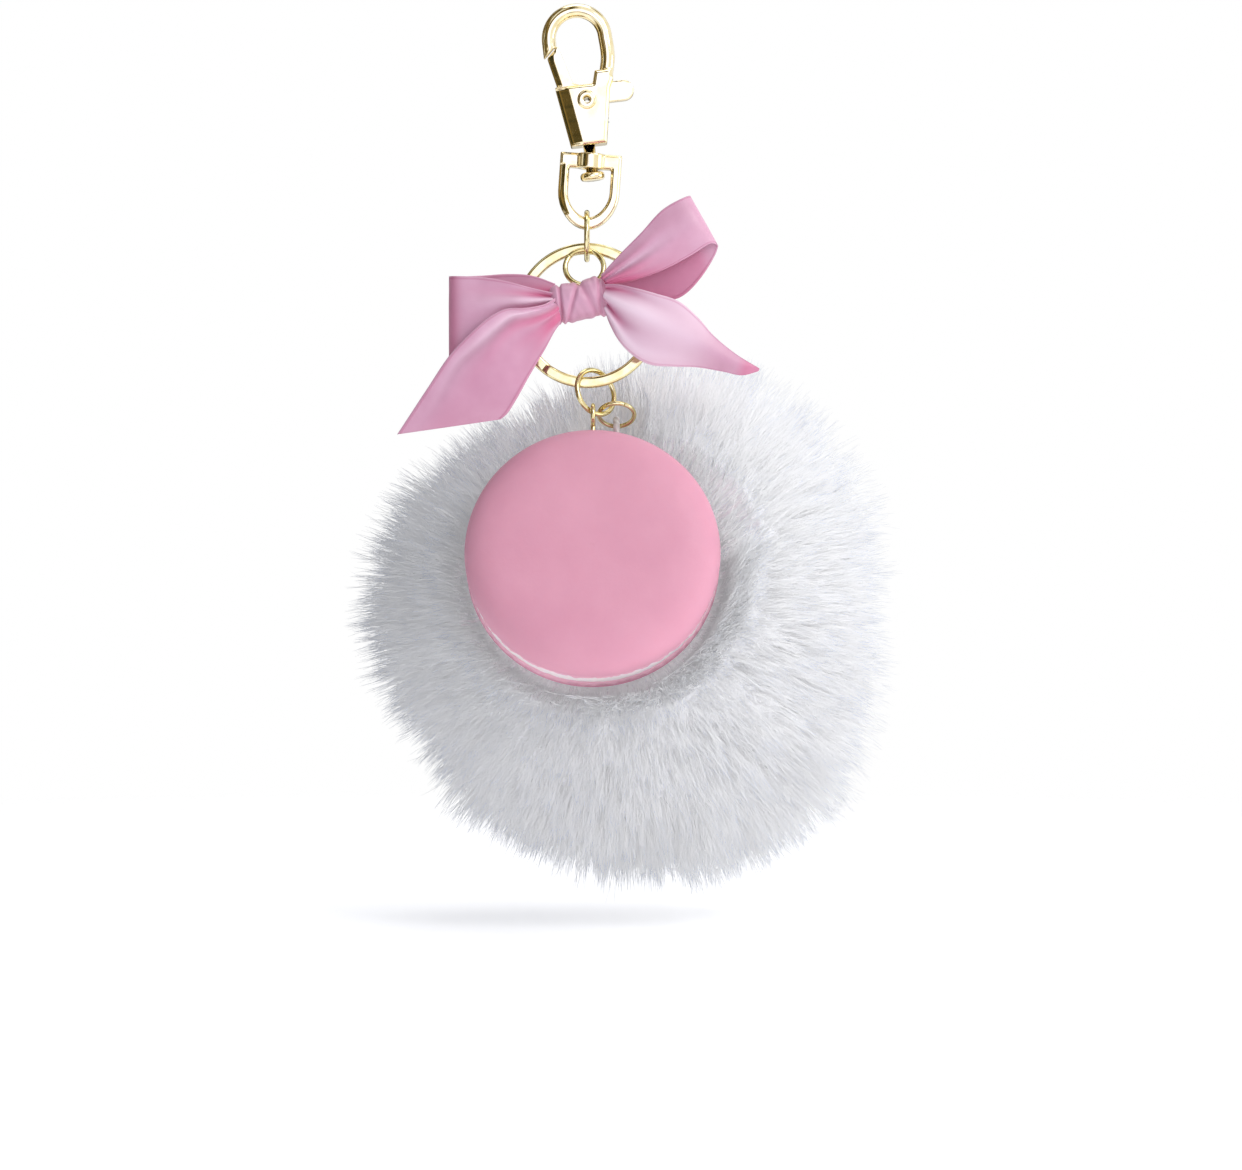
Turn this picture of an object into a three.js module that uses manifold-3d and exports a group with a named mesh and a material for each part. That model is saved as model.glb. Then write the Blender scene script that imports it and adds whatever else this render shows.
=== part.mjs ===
// Plush pompom keychain: a swivel trigger clasp, jump rings and a split key ring carry a satin bow,
// a macaron charm and a faux-fur ball. Millimetres, +Z up, +X to the viewer's right, -Y to the front.
// The origin is the highest point of the inside of the clasp's hook, where the keychain hangs.
import * as THREE from 'three';
import { mergeVertices } from 'three/addons/utils/BufferGeometryUtils.js';
import Module from 'manifold-3d';

const wasm = await Module();
wasm.setup();

// ---------------------------------------------------------------- driving dimensions (mm)
const FIT_GAP = 0.15; // clearance between small metal pieces that seat in each other
const HANG_GAP = 0.25; // clearance where one link bears on the next
const SOFT_GAP = 0.4; // clearance between soft pieces and what they touch
const SIDES = 24; // facets round a pin or a hole, alike so that the facets line up

const clasp = {
  lean: 6.5, // degrees, foot of the clasp swung to the right
  hookInner: 3.65, // inside radius of the hook's crown
  wire: 2.4, // diameter of the hook's wire
  rivetDrop: 10.9, // crown centre to rivet
  rivetSide: 0.5,
  housingTop: 8.2, // crown centre to the top of the cheeks
  housingFoot: 18.6, // crown centre to the foot of the housing
  housingTopHalf: 4.7,
  housingFootHalf: 3.1,
  housingDepth: 5.0,
  shoulderTop: 6.0,
  shoulderHalf: 1.5,
  shoulderStep: 0.7, // how far the shoulder stands out past the cheeks
  shoulderSlope: 0.6,
  bevel: 0.5,
  seamDrop: 1.9, // crown centre to the seam between the hook's nose and the gate
  seamTurn: 12, // degrees that the seam is steeper than the gate's path
  slotWidth: 2.5,
  slotTop: 7.7,
  slotFoot: 15.2,
};
const rivet = { shank: 1.0, head: 1.65, hollow: 0.6, headHeight: 0.45 };
const lever = { thickness: 2.0, hub: 2.4, tabReach: 6.5, tabRise: 1.1, tabHalf: 1.75, armTip: 1.2 };
const spring = { side: 2.75, coil: 0.55, wire: 0.16, turns: 4, steps: 12 };
const pin = { shank: 1.0, head: 2.1, headHeight: 1.4, edge: 0.35, grip: 2.3 };
const bail = {
  lean: -4, // degrees, foot of the bail swung to the left
  pivotDrop: 21.3, // crown centre to the middle of the collar, along the clasp
  collarHeight: 2.6,
  collarRadius: 2.45,
  collarBore: 1.45,
  endPlay: 0.6, // play between the collar and the pin's head
  half: 5.3,
  side: 1.7,
  depth: 2.2,
  straight: 5.4,
  innerDrop: 9.7,
  bar: 2.1,
  edge: 0.4,
};
const linkRing = { radius: 4.05, wire: 0.9 };
const bowRing = { radius: 3.3, wire: 0.9, lean: 20, front: 1.2, left: 0.4 };
const keyRing = { outer: 12.5, band: 1.9, turnDepth: 0.8, turnGap: 0.16, steps: 36, back: 0.5 };
const charmRing = { radius: 4.0, wire: 0.9, turn: 38, lean: 20, side: 1.5, drop: 1.9 };
const ballRing = { radius: 3.05, wire: 0.8, lean: -52, grip: 46, side: 1.4, play: 0.3 };
const eye = {
  inner: 1.35,
  play: 0.15,
  wire: 0.8,
  neck: 1.6,
  flange: 1.2,
  flangeHeight: 0.6,
  shank: 0.6,
  bite: 6, // depth of the shank in the filling
};
const macaron = {
  radius: 21.7,
  lean: 15, // degrees, foot of the macaron swung to the front
  slide: 8, // degrees, how far the eye has slid round the charm ring from its foot
  shell: 6.6,
  crown: 15.2, // radius of the flat part of the face
  foot: 1.6, // height of the ruffled foot
  filling: 3.0,
  fillingInset: 0.4,
  dome: 0.3, // rise of the face from its rim to its middle
};
const knot = { half: 5.6, depth: 2.9, height: 4.0, drop: 3.0, left: 0.8, roll: -12 };
const ribbonThickness = 0.6;
const ball = {
  side: 8.3,
  back: 16.5,
  drop: 105.5,
  width: 42,
  depth: 35,
  height: 42,
  bedGap: 1.4, // free space round the macaron in its bed of fur
  neck: 3.6, // radius of the parting that the elastic comes out of
  notch: 9.5, // radius of the notch in the fur round the rings
  notchLeft: 2.2,
  notchFront: 2.5,
};
const pelt = { radius: 14.0, thickness: 0.9, mouth: 3.1 };
const cord = { half: 1.3, radius: 0.6, sides: 8 };
const button = { radius: 4.6, thickness: 1.5, depth: 11.4 };
const knotBall = { radius: 1.9, below: 2.1 };
const thread = { radius: 3.4, wire: 0.5 };

// ---------------------------------------------------------------- materials
const finish = (color, roughness, metalness) =>
  new THREE.MeshStandardMaterial({ color, roughness, metalness });
const PALE_GOLD = () => finish(0xe3c98f, 0.18, 1.0);
const STEEL = () => finish(0xb8b8b8, 0.3, 1.0);
const PINK_SATIN = () => finish(0xe29ab8, 0.45, 0.0);
const PINK_SHELL = () => finish(0xe6a3bd, 0.5, 0.0);
const CREAM = () => finish(0xf4d9df, 0.6, 0.0);
const WHITE_FUR = () => finish(0xf3f3f6, 0.95, 0.0);
const WHITE_KNIT = () => finish(0xe9e7e4, 0.9, 0.0);
const WHITE_PLASTIC = () => finish(0xdedad2, 0.4, 0.0);

// ---------------------------------------------------------------- solids, joined and cut
const toSolid = (geometry) => {
  const bare = geometry.clone();
  bare.deleteAttribute('normal');
  bare.deleteAttribute('uv');
  const merged = mergeVertices(bare, 1e-4);
  return new wasm.Manifold(new wasm.Mesh({
    numProp: 3,
    vertProperties: new Float32Array(merged.attributes.position.array),
    triVerts: new Uint32Array(merged.index.array),
  }));
};

const toGeometry = (solid) => {
  const mesh = solid.getMesh();
  const geometry = new THREE.BufferGeometry();
  geometry.setAttribute('position', new THREE.BufferAttribute(mesh.vertProperties, 3));
  geometry.setIndex(new THREE.BufferAttribute(mesh.triVerts, 1));
  geometry.computeVertexNormals();
  return geometry;
};

const join = (first, ...others) =>
  toGeometry(others.reduce((sum, part) => sum.add(toSolid(part)), toSolid(first)));
const cut = (body, ...tools) =>
  toGeometry(tools.reduce((rest, tool) => rest.subtract(toSolid(tool)), toSolid(body)));

const piece = (parent, name, geometry, material) => {
  const mesh = new THREE.Mesh(geometry, material);
  mesh.name = name;
  parent.add(mesh);
  return mesh;
};

// geometry of one frame written in another frame
const carried = (geometry, from, to) => {
  const inverse = new THREE.Matrix4().copy(to.matrixWorld).invert();
  return geometry.clone().applyMatrix4(inverse.multiply(from.matrixWorld));
};

const rad = THREE.MathUtils.degToRad;
const frame = (parent, position, rotate = () => {}) => {
  const group = new THREE.Group();
  group.position.copy(position);
  rotate(group);
  parent.add(group);
  group.updateWorldMatrix(true, false);
  return group;
};
const at = (group, x, y, z) => group.localToWorld(new THREE.Vector3(x, y, z));

const box = (x0, x1, y0, y1, z0, z1) =>
  new THREE.BoxGeometry(x1 - x0, y1 - y0, z1 - z0)
    .translate((x0 + x1) / 2, (y0 + y1) / 2, (z0 + z1) / 2);
const rodY = (radius, length, x, z) =>
  new THREE.CylinderGeometry(radius, radius, length, SIDES).translate(x, 0, z);
const rodZ = (radius, z0, z1, x = 0, y = 0) =>
  new THREE.CylinderGeometry(radius, radius, z1 - z0, SIDES)
    .rotateX(Math.PI / 2).translate(x, y, (z0 + z1) / 2);
// a round ring in the XZ plane
const ringXZ = (radius, wire, steps = 28, sides = 8) =>
  new THREE.TorusGeometry(radius, wire / 2, sides, steps).rotateX(Math.PI / 2);
// an outline drawn in XZ and thickened evenly to both sides of Y = 0
const plateXZ = (shape, depth, bevel = 0) => {
  const settings = { depth: depth - 2 * bevel, bevelEnabled: bevel > 0, curveSegments: 8 };
  const bevels = { bevelThickness: bevel, bevelSize: bevel, bevelOffset: -bevel, bevelSegments: 1 };
  return new THREE.ExtrudeGeometry(shape, { ...settings, ...bevels })
    .translate(0, 0, bevel - depth / 2).rotateX(Math.PI / 2);
};
const polygon = (points) => new THREE.Shape(points.map(([x, z]) => new THREE.Vector2(x, z)));
const circleShape = (radius, sides) =>
  polygon(Array.from({ length: sides }, (_, i) => {
    const turn = (2 * Math.PI * i) / sides;
    return [radius * Math.cos(turn), radius * Math.sin(turn)];
  }));
const tube = (curve, radius, sides, steps) =>
  new THREE.ExtrudeGeometry(circleShape(radius, sides), { extrudePath: curve, steps });
const smooth = (points) =>
  new THREE.CatmullRomCurve3(points.map(([x, y, z]) => new THREE.Vector3(x, y, z)));

// a closed body through a row of sections with equal numbers of corners
const loft = (sections) => {
  const count = sections[0].length;
  const corners = sections.flat();
  const faces = [];
  for (let s = 0; s + 1 < sections.length; s += 1) {
    for (let i = 0; i < count; i += 1) {
      const a = s * count + i;
      const b = s * count + ((i + 1) % count);
      faces.push(a, b, b + count, a, b + count, a + count);
    }
  }
  const last = (sections.length - 1) * count;
  for (let i = 1; i + 1 < count; i += 1) {
    faces.push(0, i + 1, i, last, last + i, last + i + 1);
  }
  const geometry = new THREE.BufferGeometry();
  const values = new Float32Array(corners.flatMap((corner) => corner.toArray()));
  geometry.setAttribute('position', new THREE.BufferAttribute(values, 3));
  geometry.setIndex(faces);
  return geometry;
};

// a ribbon between two edges, each a smooth curve through its own points
const ribbon = (upper, lower, steps) => {
  const upperCurve = smooth(upper);
  const lowerCurve = smooth(lower);
  const rows = Array.from({ length: steps + 1 }, (_, i) => [
    upperCurve.getPoint(i / steps),
    lowerCurve.getPoint(i / steps),
  ]);
  return loft(rows.map(([top, bottom], i) => {
    const before = rows[Math.max(i - 1, 0)];
    const after = rows[Math.min(i + 1, steps)];
    const along = after[0].clone().add(after[1]).sub(before[0]).sub(before[1]);
    const across = top.clone().sub(bottom);
    const out = along.cross(across).normalize().multiplyScalar(ribbonThickness / 2);
    return [
      top.clone().add(out),
      bottom.clone().add(out),
      bottom.clone().sub(out),
      top.clone().sub(out),
    ];
  }));
};

const model = new THREE.Group();

// ---------------------------------------------------------------- clasp
// Frame of the clasp: its origin is the centre of the hook's crown, -Z runs down the clasp.
const claspFrame = frame(model, new THREE.Vector3(0, 0, -clasp.hookInner), (group) => {
  group.rotation.y = -rad(clasp.lean);
});
const crown = clasp.hookInner + clasp.wire / 2;
const slotHalf = clasp.slotWidth / 2;
const rivetX = clasp.rivetSide;
const rivetZ = -clasp.rivetDrop;

// The gate's tip swings on a circle round the rivet, so the seam is steeper than its path.
const seamMiddle = new THREE.Vector2(-crown, -clasp.seamDrop);
const gatePath = Math.atan2(rivetX - seamMiddle.x, seamMiddle.y - rivetZ);
const seamAngle = gatePath + rad(clasp.seamTurn);
const SEAM_BLOCK = 8;
// a block whose underside is `start` above the seam
const seamBlock = (start) =>
  new THREE.BoxGeometry(SEAM_BLOCK, SEAM_BLOCK, SEAM_BLOCK)
    .translate(0, 0, start + SEAM_BLOCK / 2)
    .rotateY(-seamAngle)
    .translate(seamMiddle.x, 0, seamMiddle.y);

const buildHook = () => {
  const legX = clasp.housingTopHalf - clasp.wire / 4;
  const side = [[legX, 0, -clasp.slotTop + 0.3], [crown + 0.1, 0, -3.6]];
  const arc = Array.from({ length: 13 }, (_, i) => {
    const turn = (Math.PI * i) / 12;
    return [crown * Math.cos(turn), 0, crown * Math.sin(turn)];
  });
  const nose = [[-crown - 0.02, 0, seamMiddle.y - 2]];
  const wire = tube(smooth([...side, ...arc, ...nose]), clasp.wire / 2, 12, 44);
  return cut(wire, seamBlock(-SEAM_BLOCK));
};

const buildHousing = () => {
  const shoulder = clasp.housingTopHalf + clasp.shoulderStep;
  const outline = polygon([
    [-clasp.housingFootHalf, -clasp.housingFoot],
    [clasp.housingFootHalf, -clasp.housingFoot],
    [clasp.housingTopHalf, -clasp.housingTop - 1],
    [shoulder, -clasp.slotTop],
    [shoulder, -clasp.shoulderTop],
    [shoulder - 2 * clasp.shoulderHalf, -clasp.shoulderTop],
    [shoulder - 2 * clasp.shoulderHalf - clasp.shoulderSlope, -clasp.housingTop],
    [-clasp.housingTopHalf, -clasp.housingTop],
  ]);
  const block = plateXZ(outline, clasp.housingDepth, clasp.bevel);
  const slot = box(-9, 11, -slotHalf, slotHalf, -clasp.slotFoot, -clasp.slotTop);
  const rivetHole = rodY(rivet.shank + FIT_GAP, clasp.housingDepth + 1, rivetX, rivetZ);
  const pinHole = rodZ(pin.shank + FIT_GAP, -clasp.housingFoot - 1, pinTop + FIT_GAP);
  return cut(block, slot, rivetHole, pinHole);
};

const pinTop = -clasp.housingFoot + pin.grip;
const claspBody = join(buildHousing(), buildHook());
piece(claspFrame, 'clasp_body', claspBody, PALE_GOLD());

const buildLever = () => {
  const tip = seamMiddle;
  const root = new THREE.Vector2(-clasp.housingTopHalf + 1.9, -clasp.housingTop);
  const arm = plateXZ(polygon([
    [tip.x - lever.armTip, tip.y + 1.6],
    [root.x - lever.armTip - 0.3, root.y],
    [rivetX - lever.hub, rivetZ - 0.6],
    [rivetX + 0.6, rivetZ + lever.hub - 0.1],
    [root.x + lever.armTip, root.y + 0.6],
    [tip.x + lever.armTip, tip.y + 1.6],
  ]), lever.thickness);
  const hub = rodY(lever.hub, lever.thickness, rivetX, rivetZ);
  const tabZ = rivetZ + lever.tabRise;
  const tabEnd = rivetX + lever.tabReach;
  const tab = box(rivetX, tabEnd, -lever.thickness / 2, lever.thickness / 2,
    tabZ - lever.tabHalf, tabZ + lever.tabHalf);
  const thumb = rodY(lever.tabHalf, lever.thickness, tabEnd, tabZ);
  const whole = join(arm, hub, tab, thumb);
  const hole = rodY(rivet.shank + FIT_GAP, lever.thickness + 1, rivetX, rivetZ);
  return cut(whole, seamBlock(-2 * FIT_GAP), hole);
};
piece(claspFrame, 'trigger_lever', buildLever(), PALE_GOLD());

// hollow eyelet rivet through both cheeks and the lever, turned about Y
const eyelet = (() => {
  const end = clasp.housingDepth / 2 + FIT_GAP + rivet.headHeight;
  const under = end - rivet.headHeight;
  const profile = [
    [rivet.hollow, -end], [rivet.head - 0.15, -end], [rivet.head, -under - 0.15],
    [rivet.head, -under], [rivet.shank, -under], [rivet.shank, under],
    [rivet.head, under], [rivet.head, under + 0.15], [rivet.head - 0.15, end],
    [rivet.hollow, end], [rivet.hollow, -end],
  ].map(([radius, y]) => new THREE.Vector2(radius, y));
  return new THREE.LatheGeometry(profile, SIDES).translate(rivetX, 0, rivetZ);
})();
piece(claspFrame, 'trigger_rivet', eyelet, PALE_GOLD());

// small coil spring that pushes the thumb tab up and so holds the gate shut
const coil = (() => {
  const foot = -clasp.slotFoot + FIT_GAP + spring.wire;
  const top = rivetZ + lever.tabRise - lever.tabHalf - 2 * FIT_GAP - spring.wire;
  const count = spring.turns * spring.steps;
  const points = Array.from({ length: count + 1 }, (_, i) => {
    const turn = (2 * Math.PI * i) / spring.steps;
    const height = foot + ((top - foot) * i) / count;
    return [rivetX + spring.side + spring.coil * Math.cos(turn), spring.coil * Math.sin(turn), height];
  });
  return tube(smooth(points), spring.wire, 6, count);
})();
piece(claspFrame, 'trigger_spring', coil, STEEL());

// swivel pin: shank in the housing's foot, neck through the collar, head under the collar
const collarHalf = bail.collarHeight / 2;
const headTop = -bail.pivotDrop - collarHalf - bail.endPlay;
const swivelPin = (() => {
  const edge = pin.edge;
  const profile = [
    [0, headTop - pin.headHeight], [pin.head - edge, headTop - pin.headHeight],
    [pin.head, headTop - pin.headHeight + edge], [pin.head, headTop - edge],
    [pin.head - edge, headTop], [pin.shank, headTop], [pin.shank, pinTop], [0, pinTop],
  ].map(([radius, z]) => new THREE.Vector2(radius, z));
  return new THREE.LatheGeometry(profile, SIDES).rotateX(Math.PI / 2);
})();
piece(claspFrame, 'swivel_pin', swivelPin, PALE_GOLD());

// ---------------------------------------------------------------- bail
const bailFrame = frame(model, at(claspFrame, 0, 0, -bail.pivotDrop), (group) => {
  group.rotation.y = -rad(bail.lean);
});
const buildBail = () => {
  const inner = bail.half - bail.side;
  const foot = bail.innerDrop + bail.bar;
  const outline = new THREE.Shape();
  outline.moveTo(-bail.half, collarHalf);
  outline.lineTo(bail.half, collarHalf);
  outline.lineTo(bail.half, -bail.straight);
  outline.bezierCurveTo(bail.half, -bail.straight - 3, 2.9, -foot, 0, -foot);
  outline.bezierCurveTo(-2.9, -foot, -bail.half, -bail.straight - 3, -bail.half, -bail.straight);
  const hole = new THREE.Path();
  hole.moveTo(-inner, -collarHalf);
  hole.lineTo(-inner, -bail.straight);
  hole.bezierCurveTo(-inner, -bail.straight - 2, -1.8, -bail.innerDrop, 0, -bail.innerDrop);
  hole.bezierCurveTo(1.8, -bail.innerDrop, inner, -bail.straight - 2, inner, -bail.straight);
  hole.lineTo(inner, -collarHalf);
  outline.holes.push(hole);
  const stirrup = plateXZ(outline, bail.depth, bail.edge);
  const collar = rodZ(bail.collarRadius, -collarHalf, collarHalf);
  const bore = rodZ(bail.collarBore, -collarHalf - 1, collarHalf + 1);
  return cut(join(stirrup, collar), bore);
};
piece(bailFrame, 'swivel_bail', buildBail(), PALE_GOLD());

// ---------------------------------------------------------------- link ring
// A ring seen edge-on, hanging on the foot of the bail; the bar's square edges need extra room.
const barTop = at(bailFrame, 0, 0, -bail.innerDrop);
const linkInner = linkRing.radius - linkRing.wire / 2;
const rise = (radius, offset) => radius - Math.sqrt(radius * radius - offset * offset);
const linkCentre = barTop.clone();
linkCentre.z += rise(linkInner, bail.depth / 2) + HANG_GAP - linkInner;
const linkFrame = frame(model, linkCentre);
const linkGeometry = ringXZ(linkRing.radius, linkRing.wire).rotateZ(Math.PI / 2);
piece(linkFrame, 'link_ring', linkGeometry, PALE_GOLD());
const cradle = linkCentre.z - linkInner; // top of the wire at the ring's lowest point

// ---------------------------------------------------------------- split key ring
// Two flat turns, one behind the other, joined by the short step of a split ring.
const keyInner = keyRing.outer - keyRing.band;
const keyDepth = 2 * keyRing.turnDepth + keyRing.turnGap;
const keyCentre = new THREE.Vector3(
  linkCentre.x,
  keyRing.back,
  cradle + rise(linkInner, keyRing.back + keyDepth / 2) + HANG_GAP - keyInner,
);
const keyFrame = frame(model, keyCentre);
const splitRing = (() => {
  const turns = 2 * keyRing.steps;
  const shift = keyRing.turnDepth + keyRing.turnGap;
  const stepAt = 0.5; // share of the way along the wire where it steps to the second turn
  const stepLength = 0.1;
  const sections = Array.from({ length: turns }, (_, i) => {
    const way = i / (turns - 1);
    const turn = -Math.PI * 0.72 + way * (4 * Math.PI - rad(9));
    const step = THREE.MathUtils.smoothstep(way, stepAt - stepLength, stepAt + stepLength);
    const middle = -keyDepth / 2 + keyRing.turnDepth / 2 + step * shift;
    const corner = (radius, y) =>
      new THREE.Vector3(radius * Math.cos(turn), middle + y, radius * Math.sin(turn));
    const half = keyRing.turnDepth / 2;
    return [
      corner(keyInner, -half), corner(keyRing.outer, -half),
      corner(keyRing.outer, half), corner(keyInner, half),
    ];
  });
  return loft(sections);
})();
piece(keyFrame, 'key_ring', splitRing, PALE_GOLD());

// ---------------------------------------------------------------- bow
const bowInner = bowRing.radius - bowRing.wire / 2;
const bowTop = new THREE.Vector3(
  linkCentre.x - bowRing.left,
  -bowRing.front,
  cradle + rise(linkInner, bowRing.front + bowRing.wire / 2) + HANG_GAP + bowRing.wire / 2,
);
// Frame of the bow: the top of its ring's wire, leaning forward so that the knot clears the ring.
const bowFrame = frame(model, bowTop, (group) => {
  group.rotation.x = -rad(bowRing.lean);
});
const bowRingGeometry = ringXZ(bowRing.radius, bowRing.wire).translate(0, 0, -bowRing.radius);
piece(bowFrame, 'bow_ring', bowRingGeometry, PALE_GOLD());

// Frame of the ribbon: the middle of the knot, upright.
const ribbonFrame = frame(model, at(bowFrame, -knot.left, 0, -2 * bowRing.radius - knot.drop));
const knotBlank = (grow) =>
  new THREE.SphereGeometry(1, 24, 16)
    .rotateX(Math.PI / 2)
    .scale(knot.half + grow, knot.depth + grow, knot.height + grow)
    .rotateY(rad(knot.roll));
const ringClearance = carried(
  ringXZ(bowRing.radius, bowRing.wire + 2 * SOFT_GAP).translate(0, 0, -bowRing.radius),
  bowFrame,
  ribbonFrame,
);
piece(ribbonFrame, 'ribbon_knot', cut(knotBlank(0), ringClearance), PINK_SATIN());
const knotRoom = knotBlank(SOFT_GAP);

const ribbonPiece = (name, upper, lower, steps) => {
  const blank = ribbon(upper, lower, steps);
  piece(ribbonFrame, name, cut(blank, knotRoom, ringClearance), PINK_SATIN());
};
ribbonPiece('ribbon_loop_left', [
  [-4.6, 0.9, 2.8], [-12, 1.4, 4.2], [-20.2, 1.0, 4.6], [-22.3, -0.9, 4.5],
  [-20.2, -2.8, 4.6], [-12, -3.0, 3.9], [-5.0, -1.6, 2.6],
], [
  [-4.6, 0.9, -2.8], [-12, 1.4, -7.2], [-20.2, 1.0, -9.4], [-22.3, -0.9, -9.5],
  [-20.2, -2.8, -9.4], [-12, -3.0, -6.8], [-5.0, -1.6, -2.6],
], 26);
ribbonPiece('ribbon_loop_right', [
  [4.2, 0.9, 4.2], [8.2, 1.6, 10.0], [14.8, 1.4, 16.4], [19.0, -0.6, 17.9],
  [15.6, -2.8, 16.2], [8.4, -3.0, 9.4], [4.4, -1.6, 3.8],
], [
  [5.4, 0.9, -1.6], [12.6, 1.6, 0.0], [19.2, 1.4, 2.0], [23.4, -0.6, 6.2],
  [19.0, -2.8, 2.2], [12.4, -3.0, 0.2], [5.4, -1.6, -1.6],
], 26);
ribbonPiece('ribbon_tail_left', [
  [-4.6, -2.9, -0.6], [-10.5, -4.6, -2.0], [-16.5, -5.0, -5.0], [-21.5, -4.8, -9.2],
  [-31.0, -3.6, -22.8],
], [
  [-2.6, -2.9, -4.6], [-4.6, -4.6, -7.4], [-7.0, -5.0, -11.2], [-9.4, -4.8, -15.2],
  [-12.9, -3.6, -20.0],
], 16);
ribbonPiece('ribbon_tail_right', [
  [4.6, -2.9, 2.2], [12.0, -4.6, 1.7], [17.9, -5.0, -0.3], [22.8, -4.8, -5.2],
  [30.5, -3.8, -11.7],
], [
  [5.0, -2.9, -3.4], [8.6, -4.6, -8.8], [12.5, -5.0, -11.3], [19.5, -4.8, -11.4],
  [29.3, -3.8, -12.7],
], 16);

// ---------------------------------------------------------------- charm ring
// Frame of the charm ring: the middle of the key ring's band, turned and leaning with the ring.
const bandMiddle = keyRing.outer - keyRing.band / 2;
const charmFrame = frame(
  model,
  at(keyFrame, charmRing.side, 0, -Math.sqrt(bandMiddle ** 2 - charmRing.side ** 2)),
  (group) => {
    group.rotation.order = 'XYZ';
    group.rotation.x = -rad(charmRing.lean);
    group.rotation.z = rad(charmRing.turn);
  },
);
const charmGeometry = ringXZ(charmRing.radius, charmRing.wire).translate(0, 0, -charmRing.drop);
piece(charmFrame, 'charm_ring', charmGeometry, PALE_GOLD());

// ---------------------------------------------------------------- macaron
// Frame of the macaron: its middle, +Z towards the eye, -Y out of the front shell.
const slide = rad(macaron.slide);
const eyePoint = at(
  charmFrame,
  -charmRing.radius * Math.sin(slide),
  0,
  -charmRing.drop - charmRing.radius * Math.cos(slide),
);
const eyeDrop = eye.inner - charmRing.wire / 2 - HANG_GAP - eye.play;
const eyeReach = macaron.radius + eye.neck + eye.wire + eye.inner; // macaron's middle to eye's middle
const macaronLean = rad(macaron.lean);
const macaronFrame = frame(
  model,
  eyePoint.clone().add(new THREE.Vector3(
    0,
    -Math.sin(macaronLean) * (eyeReach + eyeDrop),
    -Math.cos(macaronLean) * (eyeReach + eyeDrop),
  )),
  (group) => {
    group.rotation.x = -macaronLean;
  },
);
const fillingHalf = macaron.filling / 2;
const shellStart = fillingHalf + FIT_GAP;
const shellEnd = shellStart + macaron.shell;
const footTop = shellStart + macaron.foot;
const shellProfile = (() => {
  const shape = new THREE.Path();
  shape.moveTo(macaron.radius - 0.7, shellStart);
  shape.quadraticCurveTo(macaron.radius + 0.25, shellStart + 0.1, macaron.radius - 0.1, footTop);
  shape.bezierCurveTo(
    macaron.radius + 0.1, footTop + 2.6,
    macaron.radius - 1.9, shellEnd - 0.25,
    macaron.crown, shellEnd,
  );
  const rim = shape.getPoints(5);
  return [new THREE.Vector2(0, shellStart), ...rim, new THREE.Vector2(0, shellEnd + macaron.dome)];
})();
const shellBack = new THREE.LatheGeometry(shellProfile, 40);
const mirroredY = (geometry) => toGeometry(toSolid(geometry).mirror([0, 1, 0]));
piece(macaronFrame, 'macaron_front_shell', mirroredY(shellBack), PINK_SHELL());
piece(macaronFrame, 'macaron_back_shell', shellBack, PINK_SHELL());

const fillingRadius = macaron.radius - macaron.fillingInset;
const filling = new THREE.CylinderGeometry(fillingRadius, fillingRadius, macaron.filling, 40);
const eyeHole = rodZ(eye.shank + FIT_GAP, fillingRadius - eye.bite - FIT_GAP, fillingRadius + 2);
piece(macaronFrame, 'macaron_filling', cut(filling, eyeHole), CREAM());

// screw eye: edge-on loop, neck, small flange on the rim and a shank in the filling
const screwEye = (() => {
  const loopRadius = eye.inner + eye.wire / 2;
  const loop = ringXZ(loopRadius, eye.wire, 24, 8).rotateZ(Math.PI / 2).translate(0, 0, eyeReach);
  const flangeFoot = fillingRadius + FIT_GAP;
  const neck = rodZ(eye.wire / 2, flangeFoot, eyeReach - loopRadius);
  const flange = rodZ(eye.flange, flangeFoot, flangeFoot + eye.flangeHeight);
  const shank = rodZ(eye.shank, fillingRadius - eye.bite, flangeFoot + eye.flangeHeight / 2);
  return join(loop, neck, flange, shank);
})();
piece(macaronFrame, 'macaron_screw_eye', screwEye, PALE_GOLD());

// ---------------------------------------------------------------- ball ring
// It hangs beside the macaron, on the charm ring's wire, with its foot swung to the back.
const grip = rad(ballRing.grip);
const gripPoint = at(
  charmFrame,
  charmRing.radius * Math.cos(grip),
  0,
  -charmRing.drop - charmRing.radius * Math.sin(grip),
);
const ballRingInner = ballRing.radius - ballRing.wire / 2;
const ballRingLean = rad(ballRing.lean);
const gripReach = ballRingInner - charmRing.wire / 2 - HANG_GAP - ballRing.play;
const gripDrop = Math.sqrt(gripReach ** 2 - ballRing.side ** 2);
const ballRingFrame = frame(
  model,
  gripPoint.clone().add(new THREE.Vector3(
    ballRing.side,
    -Math.sin(ballRingLean) * gripDrop,
    -Math.cos(ballRingLean) * gripDrop,
  )),
  (group) => {
    group.rotation.x = -ballRingLean;
  },
);
piece(ballRingFrame, 'ball_ring', ringXZ(ballRing.radius, ballRing.wire, 32, 8), PALE_GOLD());

// ---------------------------------------------------------------- fur ball
// Frame of the ball: the middle of its stuffing, +Z along the elastic to the foot of its ring.
const ballCentre = new THREE.Vector3(ball.side, ball.back, -ball.drop);
const ringFoot = at(ballRingFrame, 0, 0, -ballRing.radius);
const elasticWay = ringFoot.clone().sub(ballCentre);
const elasticReach = elasticWay.length();
const ballFrame = frame(model, ballCentre, (group) => {
  group.quaternion.setFromUnitVectors(new THREE.Vector3(0, 0, 1), elasticWay.clone().normalize());
});
const peltOuter = pelt.radius + pelt.thickness;
const sphere = (radius, around, up) =>
  new THREE.SphereGeometry(radius, around, up).rotateX(Math.PI / 2);

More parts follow.
